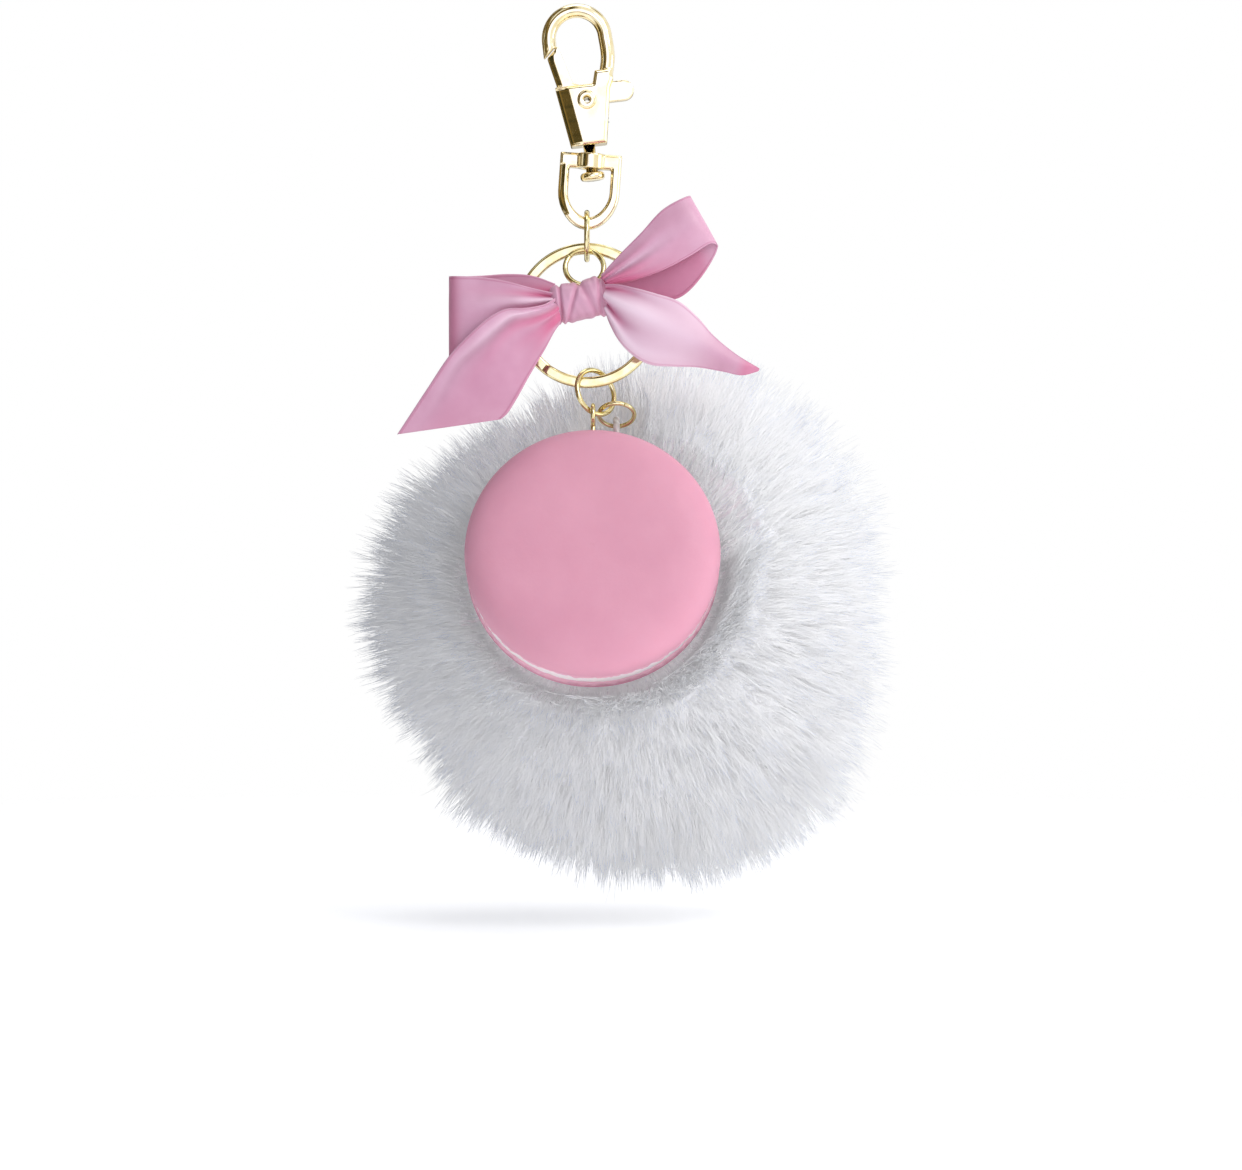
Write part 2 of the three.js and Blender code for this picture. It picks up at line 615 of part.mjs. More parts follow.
const stuffing = cut(
  sphere(pelt.radius - SOFT_GAP, 24, 16),
  rodZ(button.radius + SOFT_GAP, button.depth - 2 * knotBall.below - SOFT_GAP, pelt.radius + 2),
);
piece(ballFrame, 'stuffing', stuffing, WHITE_KNIT());

const peltSkin = cut(
  sphere(peltOuter, 24, 16),
  sphere(pelt.radius, 24, 16),
  rodZ(pelt.mouth, 0, peltOuter + 2),
);
piece(ballFrame, 'fur_backing', peltSkin, WHITE_KNIT());

const threadHeight = peltOuter + thread.wire;
const gatherThread = new THREE.TorusGeometry(thread.radius, thread.wire / 2, 6, 28)
  .translate(0, 0, threadHeight);
piece(ballFrame, 'gathering_thread', gatherThread, WHITE_KNIT());

// two-hole button inside the mouth of the backing
const buttonTop = button.depth + button.thickness;
const anchorButton = cut(
  rodZ(button.radius, button.depth, buttonTop),
  rodZ(cord.radius + FIT_GAP, button.depth - 1, buttonTop + 1, 0, cord.half),
  rodZ(cord.radius + FIT_GAP, button.depth - 1, buttonTop + 1, 0, -cord.half),
);
piece(ballFrame, 'anchor_button', anchorButton, WHITE_PLASTIC());

// elastic loop: over the ball ring's wire, down through the button and knotted under it
const elastic = (() => {
  const knotZ = button.depth - knotBall.below;
  const bend = Array.from({ length: 9 }, (_, i) => {
    const turn = (Math.PI * i) / 8;
    return [0, cord.half * Math.cos(turn), elasticReach + cord.half * Math.sin(turn)];
  });
  const strand = (side) => [0.12, 0.3, 0.6, 0.95].map((share) =>
    [0, side * cord.half, knotZ + (elasticReach - knotZ) * share]);
  const points = [
    [0, cord.half * 0.9, knotZ], ...strand(1), ...bend, ...strand(-1).reverse(),
    [0, -cord.half * 0.9, knotZ],
  ];
  const loop = tube(smooth(points), cord.radius, cord.sides, 44);
  const knotted = new THREE.SphereGeometry(knotBall.radius, 14, 10).translate(0, 0, knotZ);
  return join(loop, knotted);
})();
piece(ballFrame, 'elastic_loop', elastic, WHITE_KNIT());

// Pile of the fur: a flattened ball round the backing, with a bed for the macaron, a notch at the
// top for the rings and a parting that the elastic comes out of.
const furBlank = new THREE.SphereGeometry(1, 32, 20)
  .rotateX(Math.PI / 2)
  .scale(ball.width, ball.depth, ball.height)
  .translate(ball.side, ball.back, -ball.drop);
const bedRadius = macaron.radius + ball.bedGap;
const bedBack = shellEnd + macaron.dome + ball.bedGap;
const bed = carried(
  new THREE.CylinderGeometry(bedRadius, bedRadius, 60, 40).translate(0, bedBack - 30, 0),
  macaronFrame,
  model,
);
const notchCentre = at(ballRingFrame, 0, 0, 0);
const notch = new THREE.SphereGeometry(ball.notch, 24, 16)
  .translate(notchCentre.x - ball.notchLeft, notchCentre.y - ball.notchFront, notchCentre.z);
const core = carried(sphere(peltOuter + SOFT_GAP, 24, 16), ballFrame, model);
const parting = carried(rodZ(ball.neck + thread.wire, 0, elasticReach), ballFrame, model);
piece(model, 'fur_pile', cut(furBlank, bed, notch, core, parting), WHITE_FUR());

export default model;
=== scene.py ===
# %% [markdown]
# # A fur-ball keychain with a macaron and a satin bow
# The keychain is half hardware and half soft goods: a gold trigger clasp and its rings carry a
# satin bow, a moulded macaron and a faux-fur ball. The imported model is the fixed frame: every
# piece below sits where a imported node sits, and rides on that node's body when it moves.

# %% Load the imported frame
import math
import bpy
import numpy as np
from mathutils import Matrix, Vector, kdtree, noise


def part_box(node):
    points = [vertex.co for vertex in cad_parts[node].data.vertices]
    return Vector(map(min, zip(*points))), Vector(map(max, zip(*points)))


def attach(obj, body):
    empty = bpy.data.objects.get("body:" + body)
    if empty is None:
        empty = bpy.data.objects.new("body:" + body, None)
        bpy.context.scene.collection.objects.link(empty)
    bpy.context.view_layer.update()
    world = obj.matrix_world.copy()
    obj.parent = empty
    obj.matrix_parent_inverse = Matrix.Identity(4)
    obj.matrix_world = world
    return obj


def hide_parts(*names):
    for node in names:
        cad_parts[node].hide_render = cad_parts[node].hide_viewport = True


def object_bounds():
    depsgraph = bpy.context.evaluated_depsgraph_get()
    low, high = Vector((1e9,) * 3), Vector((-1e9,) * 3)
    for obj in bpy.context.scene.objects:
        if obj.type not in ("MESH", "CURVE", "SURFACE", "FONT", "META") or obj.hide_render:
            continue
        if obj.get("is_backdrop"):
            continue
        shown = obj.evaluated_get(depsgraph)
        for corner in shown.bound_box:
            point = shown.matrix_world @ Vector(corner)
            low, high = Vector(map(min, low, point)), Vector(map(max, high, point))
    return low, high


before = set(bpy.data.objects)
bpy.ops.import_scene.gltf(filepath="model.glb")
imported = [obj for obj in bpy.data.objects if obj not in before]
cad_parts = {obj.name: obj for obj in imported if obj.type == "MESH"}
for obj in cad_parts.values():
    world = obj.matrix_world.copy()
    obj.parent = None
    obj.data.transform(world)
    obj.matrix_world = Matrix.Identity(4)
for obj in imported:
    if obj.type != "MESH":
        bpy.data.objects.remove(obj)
packed_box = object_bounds()
scene = bpy.context.scene
MM = 0.001
print("packed model, mm:", [round((hi - lo) / MM, 1) for lo, hi in zip(*packed_box)])

# %% [markdown]
# ## Where things are
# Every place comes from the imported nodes. A ring's middle, axis and two radii can be read from
# its points alone: the middle is their mean, the axis is the direction in which they spread
# least, and the radii follow from the nearest and furthest point to the axis.


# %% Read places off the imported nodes
def node_points(name):
    """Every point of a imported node, in metres, as rows of an array."""
    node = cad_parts[name]
    return np.array([node.matrix_world @ v.co for v in node.data.vertices])


def ring_facts(name):
    """Middle, axis, radius of the ring's centreline and radius of its wire."""
    points = node_points(name)
    middle = points.mean(axis=0)
    spread = np.linalg.svd(points - middle, full_matrices=False)[2]
    axis = spread[2]
    flat = points - middle
    away = np.linalg.norm(flat - np.outer(flat @ axis, axis), axis=1)
    return middle, axis, (away.max() + away.min()) / 2, (away.max() - away.min()) / 2


def node_middle(name):
    low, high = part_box(name)
    return np.array((Vector(low) + Vector(high)) / 2)


for ring in ("link_ring", "bow_ring", "charm_ring", "ball_ring"):
    middle, axis, radius, wire = ring_facts(ring)
    print(ring, "radius", round(radius / MM, 2), "wire", round(2 * wire / MM, 2), "mm")

# %% [markdown]
# ## Camera
# The keychain is seen square from the front, so the camera looks along +Y with no tilt. A long
# lens from half a metre keeps the round macaron round. The view is wide enough for the clasp at
# the top and a band of empty floor at the bottom.

# %% Camera
VIEW_WIDTH = 214.1 * MM  # what the camera spans at the depth of the bow
LENS, SENSOR = 100.0, 36.0
camera_data = bpy.data.cameras.new("camera")
camera_data.lens = LENS
camera_data.sensor_width = SENSOR
camera_data.clip_start = 0.05
camera = bpy.data.objects.new("camera", camera_data)
camera_distance = VIEW_WIDTH * LENS / SENSOR
camera.location = (7.6 * MM, -camera_distance, -97.8 * MM)
camera.rotation_euler = (math.pi / 2, 0, 0)
scene.collection.objects.link(camera)
scene.camera = camera
scene.view_settings.view_transform = "Standard"
print("camera is", round(camera_distance / MM), "mm in front")

# %% [markdown]
# ## Shader sums
# Materials are written as sums on sockets. One small class holds a socket and turns `a * b + c`
# into Math nodes, and one method adds any other node. Colours are blended with a Mix node,
# because a Math node would turn them grey.


# %% A socket that can be used in sums
class Socket:
    """One output of a node, usable in sums with numbers and other sockets."""

    def __init__(self, tree, output=None):
        self.tree, self.output = tree, output

    def node(self, kind, settings=None, inputs=None, output=0):
        """Adds a node, makes its settings first, then fills its sockets."""
        made = self.tree.nodes.new(kind)
        for name, value in (settings or {}).items():
            if name == "stops":
                ramp = made.color_ramp
                while len(ramp.elements) < len(value):
                    ramp.elements.new(0.5)
                for stop, (place, colour) in zip(ramp.elements, value):
                    stop.position, stop.color = place, (*colour, 1)
            else:
                setattr(made, name, value)
        for name, value in (inputs or {}).items():
            if isinstance(value, Socket):
                self.tree.links.new(value.output, made.inputs[name])
            else:
                made.inputs[name].default_value = value
        return Socket(self.tree, made.outputs[output])

    def sum_of(self, operation, *values):
        inputs = dict(enumerate(values))
        return self.node("ShaderNodeMath", {"operation": operation}, inputs)

    def __add__(self, other):
        return self.sum_of("ADD", self, other)

    def __sub__(self, other):
        return self.sum_of("SUBTRACT", self, other)

    def __rsub__(self, other):
        return self.sum_of("SUBTRACT", other, self)

    def __mul__(self, other):
        return self.sum_of("MULTIPLY", self, other)

    __radd__, __rmul__ = __add__, __mul__

    def clamped(self):
        return self.node("ShaderNodeClamp", inputs={"Value": self})

    def between(self, low, high):
        """0 below low, 1 above high, smooth in between."""
        return self.node("ShaderNodeMapRange", {"interpolation_type": "SMOOTHSTEP"},
                         {"Value": self, "From Min": low, "From Max": high})

    def blend(self, first, second):
        """The first colour where this is 0 and the second where it is 1."""
        inputs = {"Factor": self, 6: colour(first), 7: colour(second)}
        return self.node("ShaderNodeMix", {"data_type": "RGBA"}, inputs, output=2)

    def tinted(self, factor, shade):
        """This colour multiplied towards a shade."""
        settings = {"data_type": "RGBA", "blend_type": "MULTIPLY"}
        inputs = {"Factor": factor, 6: self, 7: colour(shade)}
        return self.node("ShaderNodeMix", settings, inputs, output=2)


# %% Colours
def colour(value):
    """An sRGB triple from 0 to 255 as the linear colour that a socket takes."""
    if isinstance(value, Socket):
        return value
    parts = [c / 255 for c in value]
    linear = [c / 12.92 if c <= 0.04045 else ((c + 0.055) / 1.055) ** 2.4 for c in parts]
    return (*linear, 1)


print("half grey is", [round(part, 3) for part in colour((128, 128, 128))[:3]], "as a linear colour")


# %% A finish is a material written as sums
class Finish(Socket):
    """A material with one Principled shader; varying inputs come in as sums."""

    def __init__(self, name, **shader):
        self.material = bpy.data.materials.new(name)
        self.material.use_nodes = True
        super().__init__(self.material.node_tree)
        self.principled = self.tree.nodes["Principled BSDF"]
        self.set(**shader)

    def set(self, **shader):
        for name, value in shader.items():
            socket = self.principled.inputs[name.replace("_", " ")]
            if isinstance(value, Socket):
                self.tree.links.new(value.output, socket)
            else:
                socket.default_value = value
        return self

    def place(self):
        """Place in metres on the piece at rest."""
        return self.node("ShaderNodeTexCoord", output=3)

    def cloudy(self, size, detail=3.0, seed=0.0, roughness=0.5, vector=None):
        """Noise from 0 to 1, with lumps about `size` metres across."""
        settings = {"noise_dimensions": "4D"}
        inputs = {"Vector": vector or self.place(), "W": seed, "Scale": 1 / size,
                  "Detail": detail, "Roughness": roughness}
        return self.node("ShaderNodeTexNoise", settings, inputs)

    def painted(self, name):
        """A value that the mesh carries on its points, by name."""
        return self.node("ShaderNodeAttribute", {"attribute_name": name}, output=2)

    def bumped(self, height, depth, strength=1.0):
        """Normals of a surface with this height, `depth` metres from low to high."""
        inputs = {"Height": height, "Distance": depth, "Strength": strength}
        self.set(Normal=self.node("ShaderNodeBump", inputs=inputs))
        return self


print("shader sums ready")

# %% [markdown]
# ## Light and floor
# A white room is kind to fur and satin but turns polished gold into white paper: metal shows only
# what it mirrors. So there are three rooms in one. The camera sees plain white behind the
# keychain. Soft pieces are lit by a room that goes from grey at the left to white at the right.
# Mirrored rays see a bright window in front and dark curtains, most of them at the left.

# %% The room
WINDOW_LIGHT = (1.6, 1.64, 2.1, 1)  # brighter than white, and bluer than gold is yellow
world = bpy.data.worlds.new("studio")
world.use_nodes = True
scene.world = world
room = Socket(world.node_tree)
direction = room.node("ShaderNodeTexCoord", output=0)
stretched = room.node("ShaderNodeMapping", inputs={"Vector": direction, "Scale": (1, 1, 0.45)})
patches = room.node("ShaderNodeTexNoise", inputs={"Vector": stretched, "Scale": 2.3, "Detail": 1.0})
axes = room.node("ShaderNodeSeparateXYZ", inputs={"Vector": direction})
rightward, forward = axes, Socket(room.tree, axes.output.node.outputs[1])
in_front = (0 - forward).between(0.91, 0.965)
folds = room.node("ShaderNodeTexNoise", inputs={"Vector": stretched, "Scale": 6.0, "Detail": 2.0})
cloth = folds.between(0.4, 0.62).blend((42, 46, 30), (150, 126, 74))
curtains = (patches + rightward * 0.2).between(0.43, 0.5).blend(cloth, (254, 254, 252))
bright_window = room.node("ShaderNodeRGB")
bright_window.output.default_value = WINDOW_LIGHT
dark_flags = in_front.blend(curtains, bright_window)
mirrored = room.node("ShaderNodeLightPath", output="Is Glossy Ray")
seen = room.node("ShaderNodeLightPath", output="Is Camera Ray")
window_side = rightward.between(-0.9, 0.9).blend((118, 122, 132), (248, 248, 250))
soft_light = mirrored.blend(window_side, dark_flags)
room_colour = seen.blend(soft_light, (255, 255, 255))
background = world.node_tree.nodes["Background"]
room.tree.links.new(room_colour.output, background.inputs["Color"])
background.inputs["Strength"].default_value = 1.0
print("the room takes", len(world.node_tree.nodes), "nodes")


# %% Soft lamps
def soft_lamp(name, place, target, size, power):
    """A square lamp at `place`, turned to face `target`; all in metres and watts."""
    data = bpy.data.lights.new(name, "AREA")
    data.shape, data.size, data.energy = "SQUARE", size, power
    lamp = bpy.data.objects.new(name, data)
    lamp.location = place
    lamp.rotation_euler = (Vector(target) - Vector(place)).to_track_quat("-Z", "Y").to_euler()
    scene.collection.objects.link(lamp)


heart = (0.006, 0.0, -0.085)
soft_lamp("key_lamp", (0.42, -0.5, 0.34), heart, 0.34, 1.75)
soft_lamp("top_lamp", (0.0, 0.05, 0.55), heart, 0.40, 1.0)
soft_lamp("side_lamp", (0.60, -0.1, -0.05), heart, 0.30, 0.45)
print("three soft lamps round", [round(c / MM) for c in heart])

# %% [markdown]
# ## Floor
# The keychain hangs just above a pale floor. Its rim fades out, so no horizon shows.

# %% Lay the floor
FLOOR_GAP = 10 * MM
floor_height = packed_box[0][2] - FLOOR_GAP
bpy.ops.mesh.primitive_grid_add(x_subdivisions=2, y_subdivisions=2, size=1.8,
                                location=(0, 0, floor_height))
floor = bpy.context.object
floor.name = "floor"
floor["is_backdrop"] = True
paper = Finish("floor_paper", Roughness=0.9, Specular_IOR_Level=0.1)
grain = paper.cloudy(0.004, seed=3)
paper.set(Base_Color=grain.blend((246, 246, 247), (251, 251, 252)))
paper.set(Emission_Color=(1, 1, 1, 1), Emission_Strength=0.36)
from_middle = paper.node("ShaderNodeVectorMath", {"operation": "LENGTH"}, {0: paper.place()}, output=1)
paper.set(Alpha=1 - from_middle.between(0.16, 0.42))
floor.data.materials.append(paper.material)
print("floor is", round(-floor_height / MM, 1), "mm below the hook")

# %% [markdown]
# ## Gold plate
# Pale champagne plating over cast zinc. The rings and the screw eye get a deeper copy of the same plating, a
# painted shade. On one piece the colour hardly varies, but the polish does: faint clouds where it is
# handled, and hairline rubs.

# %% Gold and steel
def plated(name, pale, deep):
    """Polished gold plate between two shades, with clouds and hairline rubs."""
    plate = Finish(name, Metallic=1.0)
    rubbed = plate.cloudy(2.2 * MM, seed=1)
    hairlines = plate.node("ShaderNodeMapping", inputs={"Vector": plate.place(), "Scale": (1, 1, 0.12)})
    rubs = plate.cloudy(0.22 * MM, detail=2, seed=5, vector=hairlines)
    plate.set(Base_Color=rubbed.between(0.3, 0.7).blend(pale, deep))
    plate.set(Roughness=0.07 + rubbed * 0.07 + rubs.between(0.6, 0.75) * 0.1)
    plate.bumped(rubs + rubbed * 0.6, 0.0022 * MM)
    return plate


gold = plated("gold_plate", (252, 240, 205), (240, 221, 170))
# A deeper copy of the same gold plate for the rings and the screw eye: a painted shade.
shaded_ring_gold = plated("shaded_ring_plate", (236, 226, 178), (220, 200, 140))

steel = Finish("spring_steel", Metallic=1.0)
drawn = steel.cloudy(0.3 * MM, seed=2)
steel.set(Base_Color=drawn.blend((168, 168, 170), (204, 203, 200)), Roughness=0.2 + drawn * 0.2)
steel.bumped(drawn, 0.003 * MM)
print("gold and steel ready")

# %% [markdown]
# ## Satin
# Satin is woven so that long threads float on the face. They give the broad soft shine. Its colour carries
# painted light: a painted shade, a deeper pink, inside folds and creases and on the back layers, and a
# painted highlight, a paler pink, on some ridges and faces. The mesh brings two painted values: how much
# painted shade (above zero) or painted highlight (below zero) a point gets, most of it deep in a fold, and
# where the point is across the ribbon.

# %% Satin with floats, selvage, painted fold shade and painted highlight
satin = Finish("pink_satin", Roughness=0.36, Sheen_Weight=0.35, Sheen_Roughness=0.35,
               Specular_IOR_Level=0.55, Anisotropic=0.5)
satin.set(Sheen_Tint=colour((255, 226, 242)))
fold_shade_and_highlight = satin.painted("fold")
across = satin.painted("across")
thread = satin.node("ShaderNodeUVMap", {"uv_map": "cut"})
fine_threads = satin.node("ShaderNodeMapping", inputs={"Vector": thread, "Scale": (600, 9000, 1)})
floats = satin.node("ShaderNodeTexNoise", inputs={"Vector": fine_threads, "Scale": 1.0, "Detail": 2.0})
watered = satin.cloudy(7 * MM, seed=4)
face = watered.between(0.25, 0.75).blend((209, 154, 180), (224, 174, 199))
# Below zero the painted value gives a painted highlight: the face is blended towards a pale pink.
painted_highlight_colour = (0 - fold_shade_and_highlight).clamped().blend(face, (252, 224, 240))
# Above zero it gives a painted shade: a deeper pink, strongest deep in a fold or crease.
deep = fold_shade_and_highlight.clamped().blend(painted_highlight_colour, (214, 108, 148))
edge = satin.node("ShaderNodeMath", {"operation": "ABSOLUTE"}, {0: across - 0.5})
selvage = edge.between(0.452, 0.466) * (1 - edge.between(0.474, 0.488))
satin.set(Base_Color=deep.tinted(selvage * 0.35, (222, 150, 184)).tinted(floats * 0.12, (226, 196, 212)))
satin.set(Roughness=0.34 + floats * 0.1 + selvage * 0.15)
satin.bumped(floats + selvage * 2.0, 0.012 * MM)
print("satin ready")

# %% [markdown]
# ## Macaron shell and cream
# The shells are moulded soft vinyl, matt with a faint glow under the skin, and slightly mottled
# where the mould was dusted. The frilled foot is drier and paler than the smooth cap.

# %% Shell and cream
shell = Finish("macaron_shell", Roughness=0.5, Subsurface_Weight=0.12, Subsurface_Scale=0.002,
               Specular_IOR_Level=0.35)
shell.set(Subsurface_Radius=(1.0, 0.45, 0.4))
mottle = shell.cloudy(9 * MM, detail=4, seed=7)
dust = shell.cloudy(0.5 * MM, detail=3, seed=8)
foot = shell.painted("foot")
cap = mottle.between(0.2, 0.8).blend((222, 156, 178), (228, 164, 185))
shell.set(Base_Color=foot.clamped().blend(cap, (246, 190, 208)).tinted(dust * 0.1, (240, 206, 216)))
shell.set(Roughness=0.42 + dust * 0.14 + foot * 0.2)
shell.bumped(dust + foot * dust * 4.0, 0.02 * MM)

cream = Finish("macaron_cream", Roughness=0.6, Subsurface_Weight=0.2, Subsurface_Scale=0.002)
whipped = cream.cloudy(0.8 * MM, detail=4, seed=9)
cream.set(Base_Color=whipped.blend((247, 226, 231), (252, 240, 240)), Roughness=0.5 + whipped * 0.2)
cream.bumped(whipped, 0.08 * MM)
print("shell and cream ready")

# %% [markdown]
# ## Fur, knit and plastic
# Faux fur is fine acrylic fibre, white. Its colour has painted shade in it: a little grey near the roots and
# a cool grey at the tips. The strands and the undercoat glow faintly, a painted light. Each strand carries
# its height and a number of its own, laid out in a small map named OFBake, so that one small image can hold
# the colour of every strand.

# %% Fur, knit, fibre and plastic
fur = Finish("white_fur", Roughness=0.62, Sheen_Weight=0.15, Specular_IOR_Level=0.25)
strand_map = fur.node("ShaderNodeUVMap", {"uv_map": "OFBake"})
strand = fur.node("ShaderNodeSeparateXYZ", inputs={"Vector": strand_map})
own, height = strand, Socket(fur.tree, strand.output.node.outputs[1])
snow = own.node("ShaderNodeValToRGB", {"stops": [(0.0, (0.90, 0.905, 0.93)), (0.35, (0.955, 0.955, 0.965)),
                                                (1.0, (0.985, 0.985, 0.985))]}, {"Fac": own})
# Painted shade: the roots are a little greyer than the rest of the strand.
root_shade_colour = height.between(0.0, 0.7).blend((241, 241, 243), snow)
# Painted shade: the tips turn a cool blue-grey.
painted_shade_fur_colour = height.between(0.74, 1.0).blend(root_shade_colour, (198, 203, 216))
# The fur glows faintly in its own colour, a painted light.
fur.set(Base_Color=painted_shade_fur_colour, Emission_Color=painted_shade_fur_colour, Emission_Strength=0.16)
fur.set(Roughness=0.55 + own * 0.15)

undercoat = Finish("fur_undercoat", Roughness=0.9, Sheen_Weight=0.3)
tufts = undercoat.cloudy(1.6 * MM, detail=5, seed=11)
undercoat.set(Base_Color=tufts.between(0.3, 0.7).blend((232, 232, 236), (247, 247, 249)))
# The undercoat glows faintly, a painted light.
undercoat.set(Emission_Color=(0.9, 0.9, 0.91, 1), Emission_Strength=0.12)
undercoat.bumped(tufts, 0.9 * MM)

knit = Finish("white_knit", Roughness=0.85, Sheen_Weight=0.25)
loops = knit.node("ShaderNodeTexWave", {"wave_type": "BANDS", "bands_direction": "DIAGONAL"},
                  {"Vector": knit.place(), "Scale": 380.0, "Distortion": 2.5}, output=1)
lint = knit.cloudy(0.6 * MM, seed=12)
knit.set(Base_Color=loops.blend((214, 211, 207), (240, 238, 235)).tinted(lint * 0.2, (226, 224, 228)))
knit.bumped(loops + lint * 0.5, 0.12 * MM)

fibre = Finish("stuffing_fibre", Roughness=0.95, Sheen_Weight=0.4)
carded = fibre.cloudy(1.2 * MM, detail=6, seed=13, roughness=0.7)
fibre.set(Base_Color=carded.blend((226, 226, 226), (248, 248, 247)))
fibre.bumped(carded, 0.6 * MM)

plastic = Finish("white_plastic", Roughness=0.35)
swirl = plastic.cloudy(1.5 * MM, detail=5, seed=14)
plastic.set(Base_Color=swirl.blend((216, 211, 201), (232, 228, 220)), Roughness=0.28 + swirl * 0.15)
plastic.bumped(swirl, 0.01 * MM)
print("fur, knit, fibre and plastic ready")

# %% [markdown]
# ## Building pieces
# Every piece below is made from rows of points: a tube is a row of circles, a ribbon a row of short lines, a
# turned piece a row of rings. One function turns rows into a closed mesh, another puts the mesh in the scene
# on its body, with its finish.


# %% Rows of points to a mesh
def enclosed(points, faces):
    """Volume inside the faces; it is negative if they look inwards."""
    fans = [(face[0], face[i], face[i + 1]) for face in faces for i in range(1, len(face) - 1)]
    a, b, c = (points[np.array(fans)[:, i]] - points.mean(axis=0) for i in range(3))
    return (a * np.cross(b, c)).sum() / 6


def piece(name, points, faces, body, finish, slot, replaces=()):
    """A smooth-shaded piece in metres that rides on a body, its faces looking outwards."""
    points = np.asarray(points)
    if enclosed(points, faces) < 0:
        faces = [face[::-1] for face in faces]
    mesh = bpy.data.meshes.new(name)
    mesh.from_pydata(points.tolist(), [], faces)
    mesh.update()
    return adopt(bpy.data.objects.new(name, mesh), body, finish, replaces)


def adopt(made, body, finish, replaces=()):
    if made.name not in scene.collection.objects:
        scene.collection.objects.link(made)
    made.data.materials.clear()
    made.data.materials.append(finish.material)
    made.data.polygons.foreach_set("use_smooth", [True] * len(made.data.polygons))
    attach(made, body)
    if replaces:
        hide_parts(*replaces)
    return made


def grid_faces(rows, columns, close_rows=False, close_columns=True):
    """Quads over a grid of points, numbered row by row."""
    last_row = rows if close_rows else rows - 1
    last_column = columns if close_columns else columns - 1
    row, column = np.meshgrid(np.arange(last_row), np.arange(last_column), indexing="ij")
    below, beside = (row + 1) % rows, (column + 1) % columns
    corners = (row * columns + column, row * columns + beside,
               below * columns + beside, below * columns + column)
    return np.stack(corners, axis=-1).reshape(-1, 4).tolist()


def closed_rows(sections, ring=False):
    """Points and faces of a body through rows of corners, capped unless it is a ring."""
    sections = np.asarray(sections)
    rows, columns = sections.shape[:2]
    faces = grid_faces(rows, columns, close_rows=ring)
    if not ring:
        last = (rows - 1) * columns
        faces += [list(range(columns))[::-1], [last + i for i in range(columns)]]
    return sections.reshape(-1, 3), faces


print("a grid of 3 by 4 points, closed round, has", len(grid_faces(3, 4)), "faces")


# %% Tubes and turned pieces
def unit(v):
    return v / np.linalg.norm(v, axis=-1, keepdims=True)


def tube(path, radius, sides=20, ring=False, up=(0.0, 1.0, 0.0)):
    """A round tube along a path; `up` is any direction that the path never takes."""
    path = np.asarray(path, float)
    if ring:
        along = unit(np.roll(path, -1, axis=0) - np.roll(path, 1, axis=0))
    else:
        along = unit(np.gradient(path, axis=0))
    side = unit(np.cross(along, np.asarray(up, float)))
    rise = np.cross(side, along)
    turn = np.linspace(0, 2 * math.pi, sides, endpoint=False)[None, :, None]
    wide = np.broadcast_to(np.asarray(radius, float), (len(path),))[:, None, None]
    round_it = side[:, None] * np.cos(turn) + rise[:, None] * np.sin(turn)
    return closed_rows(path[:, None] + wide * round_it, ring)


def turned(profile, middle, axis, sides=64, hollow=False):
    """A lathe-turned body: profile rows are (radius, place along the axis)."""
    axis = unit(np.asarray(axis, float))
    side = unit(np.cross(axis, (0.31, 0.89, 0.33)))
    rise = np.cross(axis, side)
    turn = np.linspace(0, 2 * math.pi, sides, endpoint=False)[:, None]
    spoke = side * np.cos(turn) + rise * np.sin(turn)
    rows = [middle + axis * height + spoke * radius for radius, height in profile]
    return closed_rows(rows, ring=hollow)


def joined(*parts):
    """Several bodies as one list of points and faces."""
    points, faces, start = [], [], 0
    for some_points, some_faces in parts:
        points.append(np.asarray(some_points))
        faces += [[start + i for i in face] for face in some_faces]
        start += len(some_points)
    return np.concatenate(points), faces


def smooth_curve(points, count):
    """Evenly numbered places on a curve through the points (Catmull-Rom)."""
    points = np.asarray(points, float)
    padded = np.vstack([2 * points[0] - points[1], points, 2 * points[-1] - points[-2]])
    knots = np.concatenate([[0], np.cumsum(np.sqrt(np.linalg.norm(np.diff(padded, axis=0), axis=1)))])
    way = np.linspace(knots[1], knots[-2], count)
    made = []
    for t in way:
        i = min(max(np.searchsorted(knots, t) - 1, 1), len(points) - 1)
        k, p = knots[i - 1:i + 3], padded[i - 1:i + 3]
        a = [((k[j + 1] - t) * p[j] + (t - k[j]) * p[j + 1]) / (k[j + 1] - k[j]) for j in range(3)]
        b = [((k[j + 2] - t) * a[j] + (t - k[j]) * a[j + 1]) / (k[j + 2] - k[j]) for j in range(2)]
        made.append(((k[2] - t) * b[0] + (t - k[1]) * b[1]) / (k[2] - k[1]))
    return np.array(made)


print("helpers ready")

# %% [markdown]
# ## Cast pieces
# A cast piece has no sharp edges left: it is tumbled and polished before plating. The packed
# blank has the right size and the right holes, so its mesh is copied, wrapped in a fine even
# skin with the Remesh modifier, and eased with Smooth. Round parts, such as the hook's wire, are
# added as fine tubes first, so that the skin follows a true circle.


# %% Skin and ease a cast piece
def cast(name, node, body, skin, eased, extra=()):
    """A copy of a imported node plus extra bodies, as one polished casting."""
    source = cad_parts[node]
    points = node_points(node)
    faces = [list(face.vertices) for face in source.data.polygons]
    points, faces = joined((points, faces), *extra)
    made = piece(name, points, faces, body, gold, "gold_plate", [node])
    remesh = made.modifiers.new("skin", "REMESH")
    remesh.mode, remesh.voxel_size, remesh.adaptivity = "VOXEL", skin, 0.0
    ease = made.modifiers.new("ease", "SMOOTH")
    ease.factor, ease.iterations = 0.5, eased
    fix_modifiers(made)
    print(name, len(made.data.polygons), "faces")
    return made


